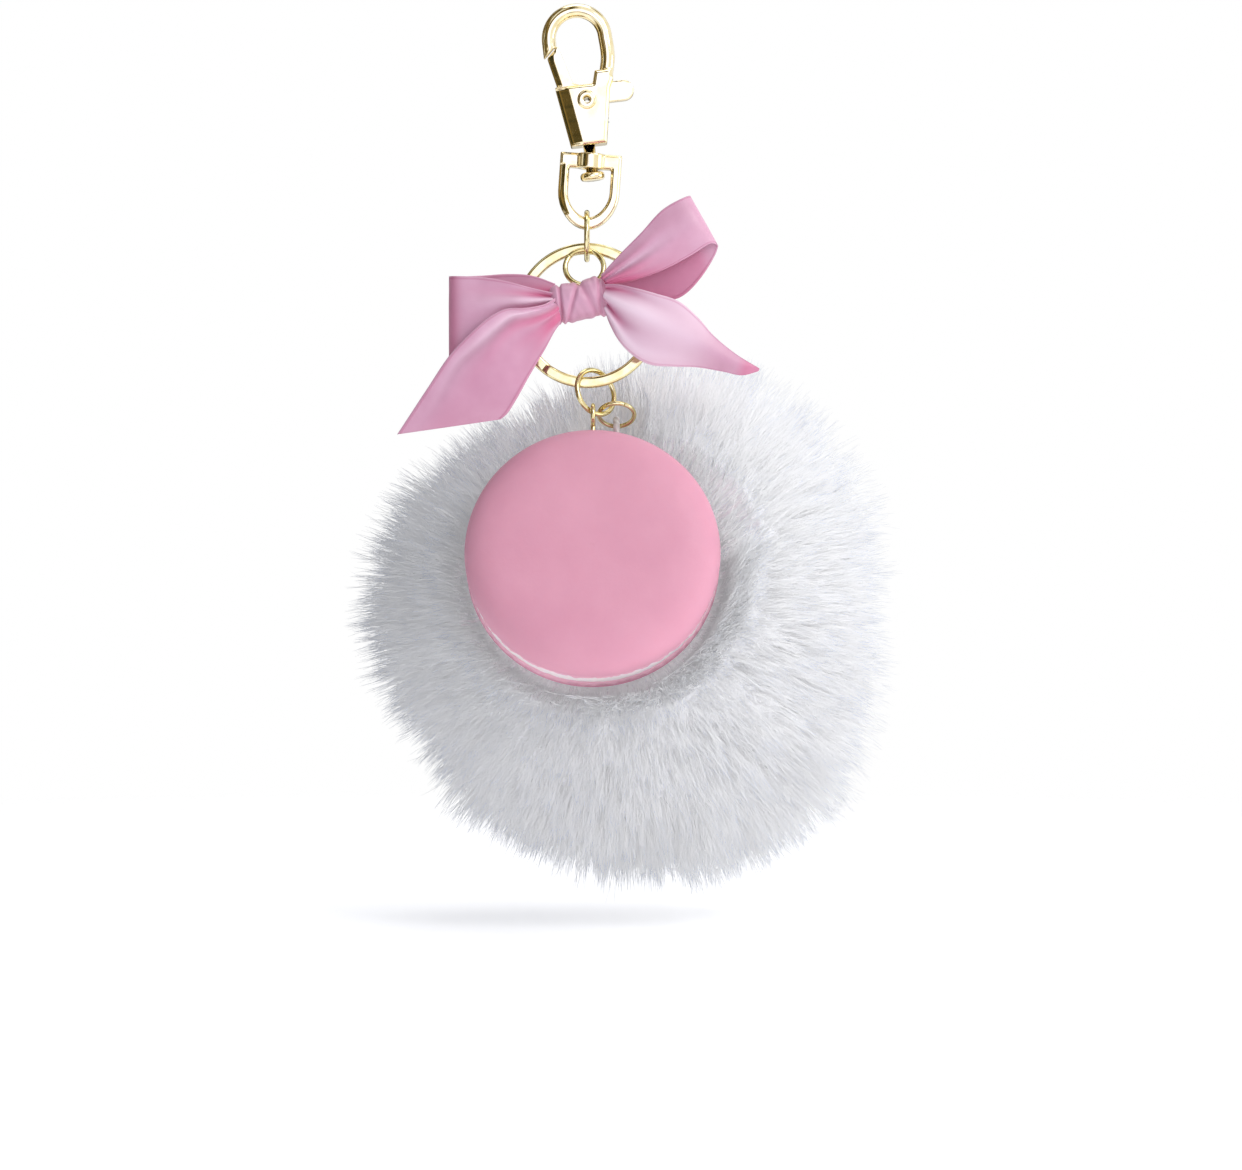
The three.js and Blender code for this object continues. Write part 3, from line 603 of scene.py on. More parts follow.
def fix_modifiers(made):
    """Turns a piece's modifiers into its mesh."""
    view = bpy.context.evaluated_depsgraph_get()
    finished = bpy.data.meshes.new_from_object(made.evaluated_get(view))
    finished.name = made.name
    made.modifiers.clear()
    made.data = finished
    made.data.polygons.foreach_set("use_smooth", [True] * len(made.data.polygons))


# %% Clasp, trigger and bail
HOOK_INNER, HOOK_WIRE = 3.65 * MM, 2.4 * MM
HOOK_OVER = 0.02 * MM  # the round wire stands just proud of the blank's facets
CLASP_LEAN = math.radians(6.5)
crown_middle = np.array([0.0, 0.0, packed_box[1][2] - HOOK_WIRE - HOOK_INNER])
clasp_right = np.array([math.cos(CLASP_LEAN), 0.0, math.sin(CLASP_LEAN)])
clasp_up = np.array([-math.sin(CLASP_LEAN), 0.0, math.cos(CLASP_LEAN)])


def on_clasp(x, y, z):
    """A place in the clasp's own frame, in millimetres from the middle of the hook's crown."""
    return crown_middle + MM * (x * clasp_right + y * np.array([0.0, 1.0, 0.0]) + z * clasp_up)


crown_radius = (HOOK_INNER + HOOK_WIRE / 2) / MM
bow_of_hook = [on_clasp(4.1, 0, -7.4), on_clasp(crown_radius + 0.1, 0, -3.6)]
for step in range(25):
    turn = math.pi * step / 24
    bow_of_hook.append(on_clasp(crown_radius * math.cos(turn), 0, crown_radius * math.sin(turn)))
bow_of_hook.append(on_clasp(-crown_radius, 0, -1.3))
hook_tube = tube(smooth_curve(bow_of_hook, 90), HOOK_WIRE / 2 + HOOK_OVER, sides=28)
clasp_casting = cast("clasp_casting", "clasp_body", "clasp", 0.1 * MM, 16, [hook_tube])
trigger_gate = cast("trigger_gate", "trigger_lever", "trigger", 0.09 * MM, 34)
bail_stirrup = cast("bail_stirrup", "swivel_bail", "bail", 0.09 * MM, 24)
print("crown of the hook is", round(2 * crown_radius, 1), "mm across its wire's middle")

# %% [markdown]
# ## Sloped edges of the castings
# The clasp isn't a plain plate: its left edge falls away, so that it mirrors another part of the
# room than the flat face does. That dark slope is what makes the plate read as polished gold.
# The points near the left edge are pressed towards the middle plane, more the nearer they are.


# %% Slope the left edges
EDGE_STEP, EDGE_BAND, SLOPE_END = 0.5, 0.4, 0.3  # mm: between levels, round a level, at each end


def sloped(made, foot, top, wide, core, left):
    """Slopes a casting's faces towards its left edge, from height `foot` to `top`, all in mm.

    The slope is `wide` across. Of what lies beyond `core` from the middle plane, the share
    `left` is left at the edge.
    """
    spots = np.array([v.co for v in made.data.vertices])
    local = (spots - crown_middle) / MM
    x, z = local @ clasp_right, local @ clasp_up
    levels = np.arange(foot, top, EDGE_STEP)
    edge = [x[np.abs(z - level) < EDGE_BAND].min() for level in levels]
    slope = np.clip(1 - (x - np.interp(z, levels, edge)) / wide, 0, 1)
    slope *= np.clip((z - foot) / SLOPE_END, 0, 1) * np.clip((top - z) / SLOPE_END, 0, 1)
    beyond = np.clip(np.abs(local[:, 1]) - core, 0, None)
    spots[:, 1] -= np.sign(local[:, 1]) * beyond * slope * (1 - left) * MM
    made.data.vertices.foreach_set("co", spots.astype(np.float32).ravel())
    made.data.update()
    print(made.name, "sloped over", round(float((slope > 0).mean()), 2), "of its points")


sloped(clasp_casting, foot=-18.5, top=-8.4, wide=2.3, core=1.15, left=0.2)
sloped(trigger_gate, foot=-8.0, top=-1.5, wide=1.1, core=0.3, left=0.3)
sloped(bail_stirrup, foot=-30.0, top=-21.0, wide=1.1, core=0.3, left=0.35)

# %% Turned rivet and swivel pin
rivet_middle = node_middle("trigger_rivet")
rivet_depth = (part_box("trigger_rivet")[1][1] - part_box("trigger_rivet")[0][1]) / 2
lip = [(0.6, 0.1), (0.68, 0.03), (0.9, 0.0), (1.25, 0.03), (1.5, 0.13), (1.64, 0.3), (1.64, 0.43),
       (1.0, 0.45)]
front_rows = [(radius * MM, rivet_depth - under * MM) for radius, under in lip]
rivet_rows = front_rows + [(radius, -height) for radius, height in front_rows[::-1]]
rivet_body = turned(rivet_rows, rivet_middle, (0, -1, 0), hollow=True)
piece("rivet_turned", *rivet_body, "clasp", gold, "gold_plate", ["trigger_rivet"])

pin_points = node_points("swivel_pin") - crown_middle
pin_along = pin_points @ clasp_up
pin_foot, pin_top = pin_along.min(), pin_along.max()
pin_profile = [(0, 0), (1.5, 0), (1.85, 0.1), (2.06, 0.35), (2.1, 0.6), (2.1, 0.8), (2.06, 1.05),
               (1.85, 1.3), (1.5, 1.4), (1.0, 1.4)]
pin_rows = [(radius * MM, pin_foot + height * MM) for radius, height in pin_profile]
pin_rows += [(1.0 * MM, pin_top), (0.0, pin_top)]
piece("swivel_pin_turned", *turned(pin_rows, crown_middle, clasp_up), "clasp", gold, "gold_plate",
      ["swivel_pin"])
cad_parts["trigger_spring"].data.materials.clear()
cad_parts["trigger_spring"].data.materials.append(steel.material)
print("pin is", round((pin_top - pin_foot) / MM, 1), "mm long")

# %% [markdown]
# ## Jump rings and the split ring
# A jump ring is wire wound round a rod and sawn through, so it shows one thin cut. The split
# ring is flat wire wound twice, with rounded edges and two free ends.

# %% Wind the jump rings
SAW_HALF = 0.05 * MM  # half the width of the sawn cut


def jump_ring(name, node, body, cut_at):
    """A ring of round wire with a sawn cut at the angle `cut_at`, in degrees."""
    middle, axis, radius, wire = ring_facts(node)
    side = unit(np.cross(axis, (0.0, 0.0, 1.0)))
    rise = np.cross(side, axis)
    saw = SAW_HALF / radius
    turn = np.linspace(saw, 2 * math.pi - saw, 121) + math.radians(cut_at)
    path = middle + radius * (np.outer(np.cos(turn), side) + np.outer(np.sin(turn), rise))
    print(name, "is cut at", cut_at, "degrees")
    return piece(name, *tube(path, wire, up=axis), body, shaded_ring_gold, "gold_plate", [node])


jump_ring("link_ring_wire", "link_ring", "link", 155)
jump_ring("bow_ring_wire", "bow_ring", "bow", 40)
jump_ring("charm_ring_wire", "charm_ring", "charm_link", 130)
jump_ring("ball_ring_wire", "ball_ring", "ball_link", 65)

# %% Wind the split ring
key_low, key_high = (np.array(corner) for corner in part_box("key_ring"))
key_middle = (key_low + key_high) / 2
key_outer, key_depth = (key_high[0] - key_low[0]) / 2, key_high[1] - key_low[1]
BAND, TURN_DEPTH = 1.9 * MM, 0.8 * MM
FIRST_END, END_GAP = -0.72 * math.pi, math.radians(9)  # where the wire starts, and the gap of its ends
END_TAPER, END_LENGTH = 0.35, 0.006  # how much and over what share of its run an end is rounded
flat_wire = []
for angle in np.linspace(0, 2 * math.pi, 28, endpoint=False):
    cos, sin = math.cos(angle), math.sin(angle)
    flat_wire.append((math.copysign(abs(cos) ** 0.55, cos) * BAND / 2,
                      math.copysign(abs(sin) ** 0.8, sin) * TURN_DEPTH / 2))
ring_rows = []
for way in np.linspace(0, 1, 260):
    turn = FIRST_END + way * (4 * math.pi - END_GAP)
    step = min(max((way - 0.4) / 0.2, 0.0), 1.0)
    step = step * step * (3 - 2 * step)
    depth = -key_depth / 2 + TURN_DEPTH / 2 + step * (key_depth - TURN_DEPTH)
    spoke = np.array([math.cos(turn), 0.0, math.sin(turn)])
    taper = 1 - END_TAPER * max(0.0, 1 - min(way, 1 - way) / END_LENGTH)
    row = [key_middle + spoke * (key_outer - BAND / 2 + x * taper) + np.array([0, depth + y * taper, 0])
           for x, y in flat_wire]
    ring_rows.append(row)
piece("split_ring_wire", *closed_rows(ring_rows), "keys", shaded_ring_gold, "gold_plate", ["key_ring"])
print("split ring is", round(2 * key_outer / MM, 1), "mm across")

# %% [markdown]
# ## Macaron
# Two moulded shells with a cream line between them. The cap is a lathe shape: nearly flat in the
# middle, then a round shoulder. The frilled foot isn't round at all, so every point near the
# shell's edge is moved by noise, and the mesh remembers where the foot is for its finish.

# %% Mould the shells
front_points, back_points = node_points("macaron_front_shell"), node_points("macaron_back_shell")
cream_points = node_points("macaron_filling")
macaron_middle = (front_points.mean(axis=0) + back_points.mean(axis=0)) / 2
face_way = unit(front_points.mean(axis=0) - back_points.mean(axis=0))  # out of the front face
cream_half = np.abs((cream_points - macaron_middle) @ face_way).max()
flat_cream = cream_points - macaron_middle
cream_radius = np.linalg.norm(flat_cream - np.outer(flat_cream @ face_way, face_way), axis=1).max()
MACARON_RADIUS = 21.7 * MM
shell_start = cream_half + 0.15 * MM
SHELL_PROFILE = [(0.0, 6.88), (4, 6.86), (8, 6.8), (12, 6.66), (15, 6.42), (17.2, 6.02), (19, 5.35),
                 (20.3, 4.45), (21.1, 3.5), (21.5, 2.6), (21.62, 1.95), (21.45, 1.62), (21.52, 1.3),
                 (21.68, 0.85), (21.6, 0.4), (21.2, 0.1), (20.6, 0.0), (16.0, 0.0), (0.0, 0.0)]
FOOT_TOP, FOOT_INSIDE = 1.75 * MM, 19.8  # the frilled foot's height, and in mm the radius where it starts
print("macaron's face looks", [round(float(c), 2) for c in face_way])


def moulded_shell(name, node, sign, seed):
    """A cap with a frilled foot; sign is 1 for the front shell and -1 for the back one."""
    rows, sides = 90, 300
    profile = smooth_curve([(r, 0, h) for r, h in SHELL_PROFILE], rows)[:, [0, 2]] * MM
    points, faces = turned(profile, np.zeros(3), (0, 0, 1), sides)
    radius = np.linalg.norm(points[:, :2], axis=1)
    height = points[:, 2]
    frill = np.clip(1 - height / FOOT_TOP, 0, 1) ** 0.5 * np.clip((radius / MM - FOOT_INSIDE) / 1.2, 0, 1)
    frill = np.where(height > FOOT_TOP - 0.03 * MM, 0, frill)
    moved = points.copy()
    for i, (x, y, z) in enumerate(points):
        wave = noise.fractal(Vector((x, y, z * 0.35 + seed)) / (9 * MM), 1.0, 2.0, 3)
        moved[i, 2] += wave * 0.10 * MM * (height[i] > 3 * MM)
        if frill[i] > 0:
            lump = noise.fractal(Vector((x, y, z + seed)) / (1.1 * MM), 0.9, 2.0, 4)
            crumb = noise.noise(Vector((x, y, z + seed)) / (0.35 * MM))
            push = (0.34 * lump + 0.10 * crumb - 0.22) * MM * frill[i]
            moved[i, :2] *= 1 + push / max(radius[i], 1e-6)
    axis = face_way * sign
    side = unit(np.cross(axis, (0.0, 0.0, 1.0)))
    rise = np.cross(axis, side)
    placed = macaron_middle + axis * shell_start + moved @ np.array([side, rise, axis])
    made = piece(name, placed, faces, "macaron", shell, "macaron_shell", [node])
    made.data.attributes.new("foot", "FLOAT", "POINT").data.foreach_set("value", frill.astype(np.float32))
    print(name, "has", round(float((frill > 0).mean()), 2), "of its points in the frilled foot")
    return made


moulded_shell("shell_front_moulded", "macaron_front_shell", 1, 0.0)
moulded_shell("shell_back_moulded", "macaron_back_shell", -1, 0.37)

# %% Pipe the cream
cream_rows = []
cream_rim = cream_radius / MM
cream_profile = [(0.0, -1.5), (18.5, -1.5), (cream_rim - 0.5, -1.45), (cream_rim, -1.0),
                 (cream_rim + 0.1, 0.0), (cream_rim, 1.0), (cream_rim - 0.5, 1.45), (18.5, 1.5), (0.0, 1.5)]
dense = smooth_curve([(r, 0, h) for r, h in cream_profile], 60)[:, [0, 2]] * MM
cream_body, cream_faces = turned(dense, np.zeros(3), (0, 0, 1), 240)
for x, y, z in cream_body:
    swell = 1 + 0.007 * noise.fractal(Vector((x, y, z * 0.5)) / (2.2 * MM), 1.0, 2.0, 3)
    cream_rows.append((x * swell, y * swell, z))
side = unit(np.cross(face_way, (0.0, 0.0, 1.0)))
rise = np.cross(face_way, side)
cream_placed = macaron_middle + np.array(cream_rows) @ np.array([side, rise, face_way])
piece("cream_layer", cream_placed, cream_faces, "macaron", cream, "macaron_cream", ["macaron_filling"])
print("macaron is", round(2 * MACARON_RADIUS / MM, 1), "mm across")

# %% Turn the screw eye
macaron_up = -rise if rise[2] < 0 else rise
eye_reach = np.max((node_points("macaron_screw_eye") - macaron_middle) @ macaron_up)
EYE_WIRE, EYE_RADIUS = 0.4 * MM, 1.75 * MM
eye_middle = macaron_middle + macaron_up * (eye_reach - EYE_RADIUS - EYE_WIRE)
turn = np.linspace(0, 2 * math.pi, 96, endpoint=False)
eye_loop = eye_middle + EYE_RADIUS * (np.outer(np.cos(turn), macaron_up) + np.outer(np.sin(turn), face_way))
loop_body = tube(eye_loop, EYE_WIRE, ring=True, up=side)
flange_foot = cream_radius + 0.15 * MM
neck_profile = [(0, -4.5), (0.55, -4.5), (0.6, -0.2), (0.6, 0.0), (1.05, 0.0), (1.2, 0.12), (1.18, 0.35),
                (0.9, 0.55), (0.5, 0.65), (0.4, 0.9), (0.4, 1.9), (0.46, 2.2), (0.3, 2.4), (0, 2.45)]
neck_rows = [(radius * MM, flange_foot + height * MM) for radius, height in neck_profile]
neck_body = turned(neck_rows, macaron_middle, macaron_up, 40)
piece("screw_eye_turned", *joined(loop_body, neck_body), "macaron", shaded_ring_gold, "gold_plate",
      ["macaron_screw_eye"])
print("eye reaches", round(eye_reach / MM, 1), "mm from the middle of the macaron")

# %% [markdown]
# ## Satin bow
# The bow is one ribbon cut in lengths: two loops, two tails and the band of the knot. Flat ribbon
# is springy, so it bends like a thin sheet of metal and only crushes where the knot grips it. Each
# length is drawn as two edges in millimetres from the middle of the knot, and the cloth between
# them gets its pleats: valleys that start at the knot and fade along the ribbon. The shapes aren't
# folded from a flat cut, so the cut sizes are guesses fitted to them: the lengths are those of the
# drawn runs, and the drawn cloth is from a few to almost 14 mm across where the cut says 13 mm.

# %% Cut and pleat a ribbon
RIBBON_WIDTH, RIBBON_THICK = 13 * MM, 0.26 * MM
knot_middle = node_middle("ribbon_knot")


def satin_ribbon(name, node, upper, lower, pleats, belly=0.0, shade_and_highlight_map=None):
    """A ribbon between two edges. A pleat is (place across, width, depth mm, reach mm, grip), with
    grip 0 at the start, 1 at the end, 2 at both. `belly` pushes the middle of the cloth forward."""
    rows, columns = 170, 56
    top, low = smooth_curve(upper, rows), smooth_curve(lower, rows)
    share = np.linspace(0, 1, columns)
    cloth = top[:, None] * (1 - share[:, None]) + low[:, None] * share[:, None]
    spine = cloth.mean(axis=1)
    run = np.concatenate([[0], np.cumsum(np.linalg.norm(np.diff(spine, axis=0), axis=1))])
    along = np.gradient(cloth, axis=0)
    over = np.gradient(cloth, axis=1)
    out = unit(np.cross(over, along))
    # The painted value of each point: painted shade above zero, painted highlight below zero.
    fold = np.zeros((rows, columns))
    push = np.zeros((rows, columns))
    for place, width, depth, reach, grip in pleats:
        near = {0: run, 1: run[-1] - run, 2: np.minimum(run, run[-1] - run)}[grip]
        fade = np.exp(-(near / reach) ** 1.6)[:, None]
        wander = 0.03 * np.sin(near / 2.3 + place * 20)[:, None]
        valley = np.exp(-((share[None, :] - place - wander) / width) ** 2)
        push -= depth * valley * fade
        # Each pleat paints shade into its valley, or a painted highlight where its depth is negative and it
        # stands out.
        fold += np.sign(depth) * valley * fade
    bulge = np.sin(np.pi * share)[None, :] * np.sin(np.pi * run / run[-1])[:, None] ** 0.7
    cloth = cloth + out * push[..., None] + np.array([0, -belly, 0]) * bulge[..., None]
    out = unit(np.cross(np.gradient(cloth, axis=1), np.gradient(cloth, axis=0)))
    half = RIBBON_THICK / MM / 2
    sections = np.concatenate([cloth + out * half, (cloth - out * half)[:, ::-1]], axis=1)
    points, faces = closed_rows(knot_middle + sections * MM)
    made = piece(name, points, faces, "bow", satin, "pink_satin", [node])
    both = lambda value: np.concatenate([value, value[:, ::-1]], axis=1).ravel()
    # An optional map adds more painted shade (above zero) or painted highlight (below zero) by share along
    # and across the ribbon.
    if shade_and_highlight_map is not None:
        fold = fold + shade_and_highlight_map(run[:, None] / run[-1], share[None, :])
    remember(made, "fold", both(np.clip(fold, -1, 1)))
    remember(made, "across", both(np.broadcast_to(share, (rows, columns))))
    place_cut(made, both(np.broadcast_to(run[:, None] * MM, (rows, columns))),
              both(np.broadcast_to(share * RIBBON_WIDTH, (rows, columns))))
    print(name, "runs", round(run[-1], 1), "mm")
    return made


def remember(made, name, values):
    layer = made.data.attributes.new(name, "FLOAT", "POINT")
    layer.data.foreach_set("value", np.asarray(values, np.float32))


def place_cut(made, along, over):
    """Lays the piece's flat cut, in metres, in a map named cut."""
    corner = np.zeros(len(made.data.loops), np.int32)
    made.data.loops.foreach_get("vertex_index", corner)
    flat = np.stack([along[corner], over[corner]], axis=1).astype(np.float32)
    made.data.uv_layers.new(name="cut").data.foreach_set("uv", flat.ravel())


# %% Left loop
satin_ribbon("bow_loop_left", "ribbon_loop_left", [
    (-4.2, 0.9, 3.0), (-8.1, 1.2, 4.4), (-12.1, 1.4, 4.7), (-17.0, 1.3, 4.4), (-21.2, 0.6, 4.2),
    (-22.2, -0.9, 4.1), (-21.2, -2.5, 4.0), (-17.0, -3.1, 3.8), (-13.0, -3.2, 3.2),
    (-8.6, -2.9, 2.1), (-4.6, -2.2, 1.2),
], [
    (-4.2, 0.9, -2.6), (-8.1, 1.2, -5.2), (-12.1, 1.4, -7.4), (-17.0, 1.3, -8.8), (-21.2, 0.6, -9.5),
    (-22.2, -0.9, -9.6), (-21.2, -2.5, -9.6), (-17.0, -3.1, -8.8), (-12.4, -3.2, -6.8),
    (-8.0, -2.9, -4.6), (-4.6, -2.2, -2.4),
], [(0.20, 0.10, 0.9, 7.5, 1), (0.52, 0.12, 1.0, 6.5, 1), (0.80, 0.10, 0.8, 6.0, 1),
        (0.35, 0.12, -0.6, 8.0, 1), (0.30, 0.16, 0.6, 6.0, 0), (0.7, 0.14, 0.6, 6.0, 0)], belly=0.5,
    # Painted shade over the back layer, and in a band at the loop's far fold.
    shade_and_highlight_map=lambda run, over: 0.5 * np.exp(-((run - 0.54) / 0.035) ** 2) + 0.2 * (run < 0.46))

# %% Right loop
satin_ribbon("bow_loop_right", "ribbon_loop_right", [
    (3.4, 0.9, 3.9), (7.0, 1.4, 8.0), (10.4, 1.6, 11.4), (14.2, 1.4, 15.3), (17.6, 0.6, 17.4),
    (18.8, -0.7, 17.8), (18.0, -2.2, 17.5), (14.2, -3.0, 15.3), (10.4, -3.2, 11.2),
    (7.0, -2.8, 7.8), (3.6, -2.0, 4.2),
], [
    (4.6, 0.9, 1.4), (8.6, 1.4, 0.9), (12.8, 1.6, 0.3), (17.0, 1.2, 0.6), (20.6, 0.6, 3.8),
    (23.6, -0.5, 9.2), (22.4, -2.1, 9.6), (18.8, -2.9, 7.4), (14.2, -3.1, 5.0),
    (9.6, -2.8, 3.4), (5.0, -2.0, 2.4),
], [(0.30, 0.12, 0.7, 7.0, 1), (0.62, 0.14, 0.8, 8.0, 1), (0.88, 0.10, 0.7, 6.0, 1),
        (0.45, 0.14, -0.5, 8.0, 1), (0.4, 0.16, 0.6, 7.0, 0)], belly=0.7,
    # Painted shade over the back layer, and along the lower edge of the front layer towards the knot.
    shade_and_highlight_map=lambda run, over: 0.5 * np.clip((0.47 - run) / 0.05, 0, 1)
    + 0.55 * np.clip((over - 0.62) / 0.38, 0, 1) * np.clip((run - 0.62) / 0.3, 0, 1))

# %% Left tail
satin_ribbon("bow_tail_left", "ribbon_tail_left", [
    (-4.2, -3.0, 0.2), (-6.0, -3.9, -0.9), (-9.4, -4.7, -1.6), (-12.6, -5.0, -1.8), (-15.6, -5.1, -3.4),
    (-19.2, -5.0, -6.6), (-22.0, -4.8, -9.6), (-25.8, -4.4, -15.2), (-31.0, -3.6, -23.0),
], [
    (-3.4, -2.8, -4.2), (-4.1, -3.4, -5.2), (-5.9, -3.9, -8.6), (-7.7, -4.2, -11.7), (-9.0, -4.4, -14.0),
    (-9.9, -4.5, -15.7), (-11.0, -4.4, -17.6), (-12.2, -4.1, -19.4), (-13.4, -3.7, -20.4),
], [(0.16, 0.07, -0.7, 13.0, 0), (0.36, 0.10, 0.7, 9.0, 0), (0.62, 0.12, 0.6, 6.0, 0),
        (0.82, 0.10, 0.5, 5.0, 0)], belly=0.5,
    # A light painted shade over the tail, away from the knot and from its upper edge.
    shade_and_highlight_map=lambda run, over: 0.16 * np.clip((run - 0.1) / 0.4, 0, 1) * np.clip((over - 0.12) / 0.3, 0, 1))

# %% Right tail
satin_ribbon("bow_tail_right", "ribbon_tail_right", [
    (4.3, -3.0, 2.6), (6.4, -3.9, 2.5), (9.5, -4.6, 1.8), (13.0, -5.0, 0.8), (16.8, -5.1, -0.5),
    (20.1, -5.0, -3.3), (22.7, -4.9, -6.3), (26.2, -4.5, -9.2), (28.9, -4.2, -10.9), (30.6, -3.8, -11.8),
], [
    (4.5, -2.8, -2.2), (5.3, -3.4, -4.4), (6.9, -3.9, -7.3), (9.5, -4.2, -9.9), (12.1, -4.3, -11.2),
    (16.0, -4.4, -11.5), (20.0, -4.4, -11.6), (24.4, -4.2, -12.3), (27.6, -3.9, -12.9), (30.4, -3.6, -12.2),
], [(0.14, 0.08, 0.6, 6.0, 0), (0.38, 0.12, -0.6, 9.0, 0), (0.66, 0.10, 0.6, 6.0, 0),
        (0.86, 0.08, -0.4, 8.0, 0)], belly=1.1,
    # Painted shade where the end turns over, and a painted highlight along the middle of the run.
    shade_and_highlight_map=lambda run, over: (0.6 * np.clip((run - 0.86) / 0.06, 0, 1)
                            - 0.6 * np.exp(-((run - 0.4) / 0.28) ** 4)))

# %% [markdown]
# ## Knot
# The knot is the same ribbon wound tight over the crossing, so its threads run up and down and it creases
# across them. It is a short barrel, higher to the right, whose surface is folded in code, with painted shade
# in its creases and at its ends.

# %% Wind the knot
KNOT_ROLL = math.radians(12)
KNOT_LEFT, KNOT_WIDE = -5.3, 10.4  # mm
KNOT_GIRTH = 21 * MM  # of the ribbon that goes once round
rows, columns = 150, 180
knot_points, knot_crease_shade = [], []
for i in range(rows):
    way = i / (rows - 1)
    x = KNOT_LEFT + KNOT_WIDE * way
    close = (1 - abs(2 * way - 1) ** 6) ** 0.5
    tall = (3.95 - 0.65 * math.sin(math.pi * way) ** 1.5) * max(close, 0.02)
    deep = (2.75 + 0.35 * math.sin(math.pi * way)) * max(close, 0.02)
    for j in range(columns):
        turn = 2 * math.pi * j / columns
        lift = math.sin(turn)
        creases = ((x + 3.3 - 0.35 * lift, 0.30, 0.42), (x + 1.2 - 1.5 * lift, 0.42, 0.34),
                   (x - 1.5 + 0.9 * lift, 0.5, 0.30), (x - 3.5 - 0.5 * lift, 0.34, 0.3))
        dent = sum(depth * math.exp(-(off / width) ** 2) for off, width, depth in creases)
        fine = 0.10 * noise.noise(Vector((x * 1.3 + lift, lift * 0.5, math.cos(turn) * 0.5)))
        shrink = 1 - (dent - fine) * 0.34
        knot_points.append((x, -math.cos(turn) * deep * shrink, lift * tall * shrink))
        # Painted shade in the creases and towards the closed ends of the knot.
        knot_crease_shade.append(min(1.0, dent * 1.1 + 0.25 * (1 - close)))
roll = np.array([[math.cos(KNOT_ROLL), 0, math.sin(KNOT_ROLL)], [0, 1, 0],
                 [-math.sin(KNOT_ROLL), 0, math.cos(KNOT_ROLL)]])
knot_points = np.array(knot_points)
placed = knot_middle + MM * knot_points @ roll
placed, knot_faces = closed_rows(placed.reshape(rows, columns, 3))
bow_knot = piece("bow_knot", placed, knot_faces, "bow", satin, "pink_satin", ["ribbon_knot"])
remember(bow_knot, "fold", np.array(knot_crease_shade) * 0.55)
remember(bow_knot, "across", np.repeat(np.linspace(0.08, 0.92, rows), columns))
knot_turn = np.tile(np.arange(columns) / columns * KNOT_GIRTH, rows)
place_cut(bow_knot, knot_turn, np.repeat(np.linspace(0, RIBBON_WIDTH, rows), columns))
print("knot is", KNOT_WIDE, "mm wide")

# %% [markdown]
# ## Inside the fur ball
# The ball is a gathered knit bag, stuffed with fibre, tied shut with a thread and hung on an
# elastic from a button inside its mouth. Only a short run of the elastic shows once the pile is
# on, but all of it is there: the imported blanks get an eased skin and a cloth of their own.


# %% Soft core
def soft_core(name, node, skin, eased, finish, slot, lump):
    """A packed soft node with an eased skin and small lumps of `lump` metres."""
    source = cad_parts[node]
    faces = [list(face.vertices) for face in source.data.polygons]
    made = piece(name, node_points(node), faces, "ball", finish, slot, [node])
    remesh = made.modifiers.new("skin", "REMESH")
    remesh.mode, remesh.voxel_size = "VOXEL", skin
    ease = made.modifiers.new("ease", "SMOOTH")
    ease.factor, ease.iterations = 0.5, eased
    fix_modifiers(made)
    middle = node_middle(node)
    for vertex in made.data.vertices:
        away = vertex.co - Vector(middle)
        size = noise.fractal(vertex.co / (3 * MM), 1.0, 2.0, 3)
        vertex.co -= away.normalized() * (0.5 + 0.5 * size) * lump
    return made


core_stuffing = soft_core("fibre_core", "stuffing", 0.7 * MM, 4, fibre, "white_knit", 0.2 * MM)
soft_core("knit_bag", "fur_backing", 0.35 * MM, 3, knit, "white_knit", 0.0)
soft_core("button_moulded", "anchor_button", 0.12 * MM, 6, plastic, "white_plastic", 0.0)
soft_core("elastic_braid", "elastic_loop", 0.14 * MM, 6, knit, "white_knit", 0.0)
soft_core("gather_cord", "gathering_thread", 0.1 * MM, 5, knit, "white_knit", 0.0)
ball_middle = node_middle("fur_backing")
print("ball's middle, mm:", [round(float(c) / MM, 1) for c in ball_middle])

# %% [markdown]
# ## Undercoat
# Deep pile has a dense undercoat that light hardly enters, with longer guard hair over it. The
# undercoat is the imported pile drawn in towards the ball's middle and made lumpy. It keeps the
# notch for the rings and the parting for the elastic, and it slopes down into the macaron's bed,
# because an upright bank would stand bare: hair can only close over a slope.

# %% Size of the pile in every direction
OUTLINE = 47.0 * MM  # mean reach of the guard hair, seen from the front
LUMPS = ((1, 2.2, 26), (3, 2.2, 56), (4, 0.9, 59), (5, 0.6, 26))  # order, mm, degrees
PILE_DEPTH = 37.5 * MM
core_radius = np.ptp(node_points("fur_backing")[:, 0]) / 2
pile_half = (np.array(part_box("fur_pile")[1]) - np.array(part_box("fur_pile")[0])) / 2


def pile_reach(way):
    """How far the guard hair reaches from the ball's middle, for rows of unit directions."""
    angle = np.arctan2(way[:, 2], way[:, 0])
    outline = np.full(len(way), OUTLINE)
    for order, size, place in LUMPS:
        outline += size * MM * np.cos(order * (angle - math.radians(place)))
    beside = np.hypot(way[:, 0], way[:, 2])
    return 1 / np.sqrt((beside / outline) ** 2 + (way[:, 1] / PILE_DEPTH) ** 2)


def lumps_at(points, size, seed):
    return np.array([noise.fractal(Vector(p) / size + Vector((seed, 0, 0)), 0.8, 2.0, 3) for p in points])


print("guard hair reaches", round(float(pile_reach(np.array([[1.0, 0, 0]]))[0] / MM), 1), "mm to the right")


# %% Keep clear of the macaron and the rings
back_plane = shell_start + 6.9 * MM + 0.7 * MM
rim_clear = MACARON_RADIUS + 0.6 * MM
FUNNEL = 0.2  # how fast the bed opens towards the front
rings_middle = node_middle("ball_ring") + np.array([-2.2, -2.5, 0]) * MM
RINGS_CLEAR = 8.2 * MM


